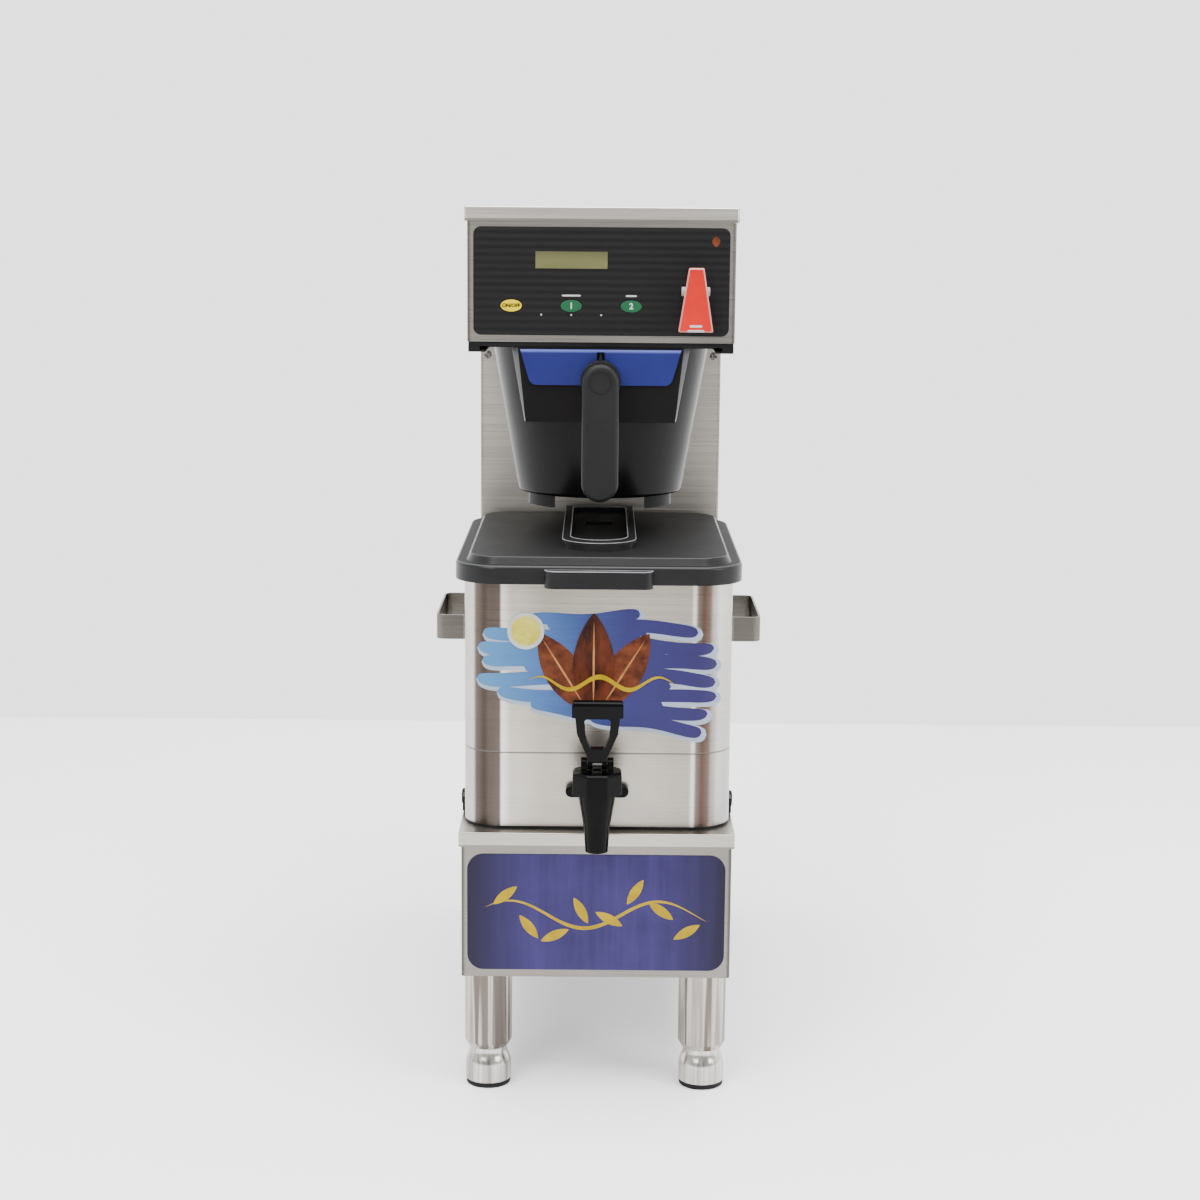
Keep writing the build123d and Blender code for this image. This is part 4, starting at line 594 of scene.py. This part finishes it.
controlRules = [("coffee_rule", -27.8, 734.6, 18.0), ("tea_rule", 27.8, 734.6, 10.5)]
for name, across, height, length in controlRules:
    mark = {"centre": (across, height), "length": length, "width": 1.5, "ends": "brush", "cuts": 16}
    printMark(name, mark, 0, whitePrint, "frame", "control_overlay")
dropMark = {"centre": (105.5, 785.0), "length": 10.0, "width": 7.4, "turn": 90, "ends": "leaf", "cuts": 24}
printMark("overlay_drop", dropMark, 0, rustPrint, "frame", "control_overlay")
leverBars = [("lever_bar", 704.0, 16.0), ("lever_bar_low", 708.4, 12.0)]
for name, height, length in leverBars:
    mark = {"centre": (87.0, height), "length": length, "width": 2.2, "ends": "brush", "cuts": 16}
    printMark(name, mark, 0, whitePrint, "hot_water_lever", "hot_water_lever")
print("control face done")

# Lid: pale glossy beads along both edges of the funnel's rim and round the top of the front tab, as painted
# highlight lines

funnelHighlightBeads = {  # half width, where the bow starts, where it ends, rear, thickness
    "funnel_highlight_bead_outer": (34.2, -188.0, -219.7, 38.6, 0.42),
    "funnel_highlight_bead_inner": (26.9, -173.0, -200.3, 31.4, 0.62),
}
funnelTop = 511.75
tabHighlightBead = {"half": 48.7, "front": -277.7, "back": -268.6, "round": 9.0, "top": 494.75, "thick": 0.55}
paintedHighlightFinish = moulded("beadPaintedHighlight", (0.15, 0.15, 0.155), 0.22, gloss=0.5)


def beadOutline(half, side, front, rear):
    sag = side - front
    radius = (half ** 2 + sag ** 2) / (2 * sag)
    reach = math.atan2(half, radius - sag)
    turns = [reach * (step / 24 - 1) for step in range(49)]
    bow = [(radius * math.sin(turn), front + radius - radius * math.cos(turn)) for turn in turns]
    corner = [(half, rear - 4), (half - 1.2, rear - 1.2), (half - 4, rear)]
    return bow + corner + [(-across, deep) for across, deep in reversed(corner)]


def tabOutline(half, front, back, corner):
    turns = [math.radians(15 * step) for step in range(7)]
    side = [(half - corner * (1 - math.cos(turn)), front + corner * (1 - math.sin(turn))) for turn in turns]
    return [(half, back)] + side + [(-across, deep) for across, deep in reversed(side)] + [(-half, back)]


def addHighlightBead(name, outline, top, thick):
    deselectAll()
    bpy.ops.mesh.primitive_circle_add(vertices=len(outline), radius=0.1)
    bead = bpy.context.active_object
    bead.name = name
    for point, (across, deep) in zip(bead.data.vertices, outline):
        point.co = (across / 1000, deep / 1000, top / 1000)
    bpy.ops.object.convert(target="CURVE")
    bead.data.bevel_depth = thick / 1000
    bead.data.bevel_resolution = 2
    bpy.ops.object.convert(target="MESH")
    bead.data.name = name
    bead.data.materials.clear()
    bead.data.materials.append(paintedHighlightFinish)
    bpy.ops.object.shade_smooth()
    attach(bead, "dispenser_lid")


for name, (half, side, front, rear, thick) in funnelHighlightBeads.items():
    addHighlightBead(name, beadOutline(half, side, front, rear), funnelTop, thick)
tabEdge = tabOutline(tabHighlightBead["half"], tabHighlightBead["front"], tabHighlightBead["back"], tabHighlightBead["round"])
addHighlightBead("tab_highlight_bead", tabEdge, tabHighlightBead["top"], tabHighlightBead["thick"])
print("lid beads done")


# Basket: the drafted cheeks beside its pocket, lighter grey as a painted highlight

cheekLook = {"low": (617.2, 69.9, 1.2), "high": (686.6, 77.3, 6.4),  # height, half width, reach
             "front": -157.3, "back": -149.5, "round": 0.5}
cheekHighlightFinish = moulded("cheekPaintedHighlight", (0.040, 0.040, 0.0415), 0.3, gloss=0.2)


def addCheek(name, side):
    corners = []
    for height, across, reach in (cheekLook["low"], cheekLook["high"]):
        corners += [(across, cheekLook["front"], height), (across + reach, cheekLook["back"], height),
                    (across, cheekLook["back"], height)]
    deselectAll()
    bpy.ops.mesh.primitive_cylinder_add(vertices=3, radius=0.01, depth=0.02)
    cheek = bpy.context.active_object
    cheek.name = cheek.data.name = name
    around = [(point.co.z > 0, math.atan2(point.co.x, point.co.y), point) for point in cheek.data.vertices]
    around.sort(key=lambda row: row[:2])
    for (_, _, point), (across, deep, height) in zip(around, corners):
        point.co = (side * across / 1000, deep / 1000, height / 1000)
    bpy.ops.object.mode_set(mode="EDIT")
    bpy.ops.mesh.select_all(action="SELECT")
    bpy.ops.mesh.normals_make_consistent(inside=False)
    bpy.ops.object.mode_set(mode="OBJECT")
    rounding = cheek.modifiers.new("rounding", "BEVEL")
    rounding.width = cheekLook["round"] / 1000
    rounding.segments = 3
    applyAll(cheek)
    cheek.data.materials.clear()
    cheek.data.materials.append(cheekHighlightFinish)
    bpy.ops.object.shade_smooth_by_angle(angle=math.radians(40))
    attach(cheek, "basket")


for name, side in (("pocket_cheek_left", -1), ("pocket_cheek_right", 1)):
    addCheek(name, side)
print("basket cheeks done")


# Floor, light and camera

stageLook = {"floor": (0.87, 0.87, 0.88), "backdrop": (2.43, 2.44, 2.46), "front": (0.75, 0.75, 0.76),
             "turn": (-0.85, 0.45), "farEdge": 1.24, "deep": 3.0, "wide": 9.0}
lights = [  # place, aim, size, power
    ("topLight", (0.0, -0.6, 3.6), (0.0, 0.1, 0.0), 3.4, 330.0),
    ("frontLight", (-1.7, -3.2, 2.4), (0.0, 0.0, 0.45), 1.8, 115.0),
    ("rightLight", (2.4, -1.8, 1.6), (0.0, 0.0, 0.45), 1.4, 62.0)]

deselectAll()
bpy.ops.mesh.primitive_plane_add(size=1.0)
floor = bpy.context.active_object
floor.name = "studio_floor"
floor.scale = (stageLook["wide"], stageLook["deep"], 1.0)
floor.location = (0.0, stageLook["farEdge"] - stageLook["deep"] / 2, -0.0002)
bpy.ops.object.transform_apply(location=True, rotation=True, scale=True)
floorPaint = Paint("studioFloor")
floor.data.materials.append(floorPaint.finish(colour=stageLook["floor"], rough=0.55, specular=0.3))

world = bpy.data.worlds.new("studio")
bpy.context.scene.world = world
world.use_nodes = True
around = world.node_tree  # pale backdrop behind the object, dimmer towards the photographer
direction = around.nodes.new("ShaderNodeTexCoord")
parts = around.nodes.new("ShaderNodeSeparateXYZ")
turning = around.nodes.new("ShaderNodeMapRange")
turning.interpolation_type = "SMOOTHSTEP"
turning.inputs["From Min"].default_value, turning.inputs["From Max"].default_value = stageLook["turn"]
blend = around.nodes.new("ShaderNodeMix")
blend.data_type = "RGBA"
blend.inputs[6].default_value = (*stageLook["front"], 1.0)
blend.inputs[7].default_value = (*stageLook["backdrop"], 1.0)
around.links.new(direction.outputs["Generated"], parts.inputs[0])
around.links.new(parts.outputs["Y"], turning.inputs["Value"])
around.links.new(turning.outputs[0], blend.inputs[0])
around.links.new(blend.outputs[2], around.nodes["Background"].inputs["Color"])

for name, place, aim, size, power in lights:
    lamp = bpy.data.lights.new(name, "AREA")
    lamp.size = size
    lamp.energy = power
    holder = bpy.data.objects.new(name, lamp)
    bpy.context.scene.collection.objects.link(holder)
    holder.location = place
    holder.rotation_mode = "QUATERNION"
    holder.rotation_quaternion = (Vector(aim) - Vector(place)).to_track_quat("-Z", "Y")

cameraLook = {"place": (0.0, -2.214, 0.8145), "lens": 66.0, "down": 10.1, "roll": 0.5, "shift": 0.0011}
camera = bpy.data.objects.new("camera", bpy.data.cameras.new("camera"))
bpy.context.scene.collection.objects.link(camera)
camera.data.lens = cameraLook["lens"]
camera.data.sensor_width = 36.0
camera.data.shift_x = cameraLook["shift"]
camera.location = cameraLook["place"]
camera.rotation_mode = "ZYX"
camera.rotation_euler = (math.radians(90 - cameraLook["down"]), 0.0, math.radians(cameraLook["roll"]))
bpy.context.scene.camera = camera
print("stage done")
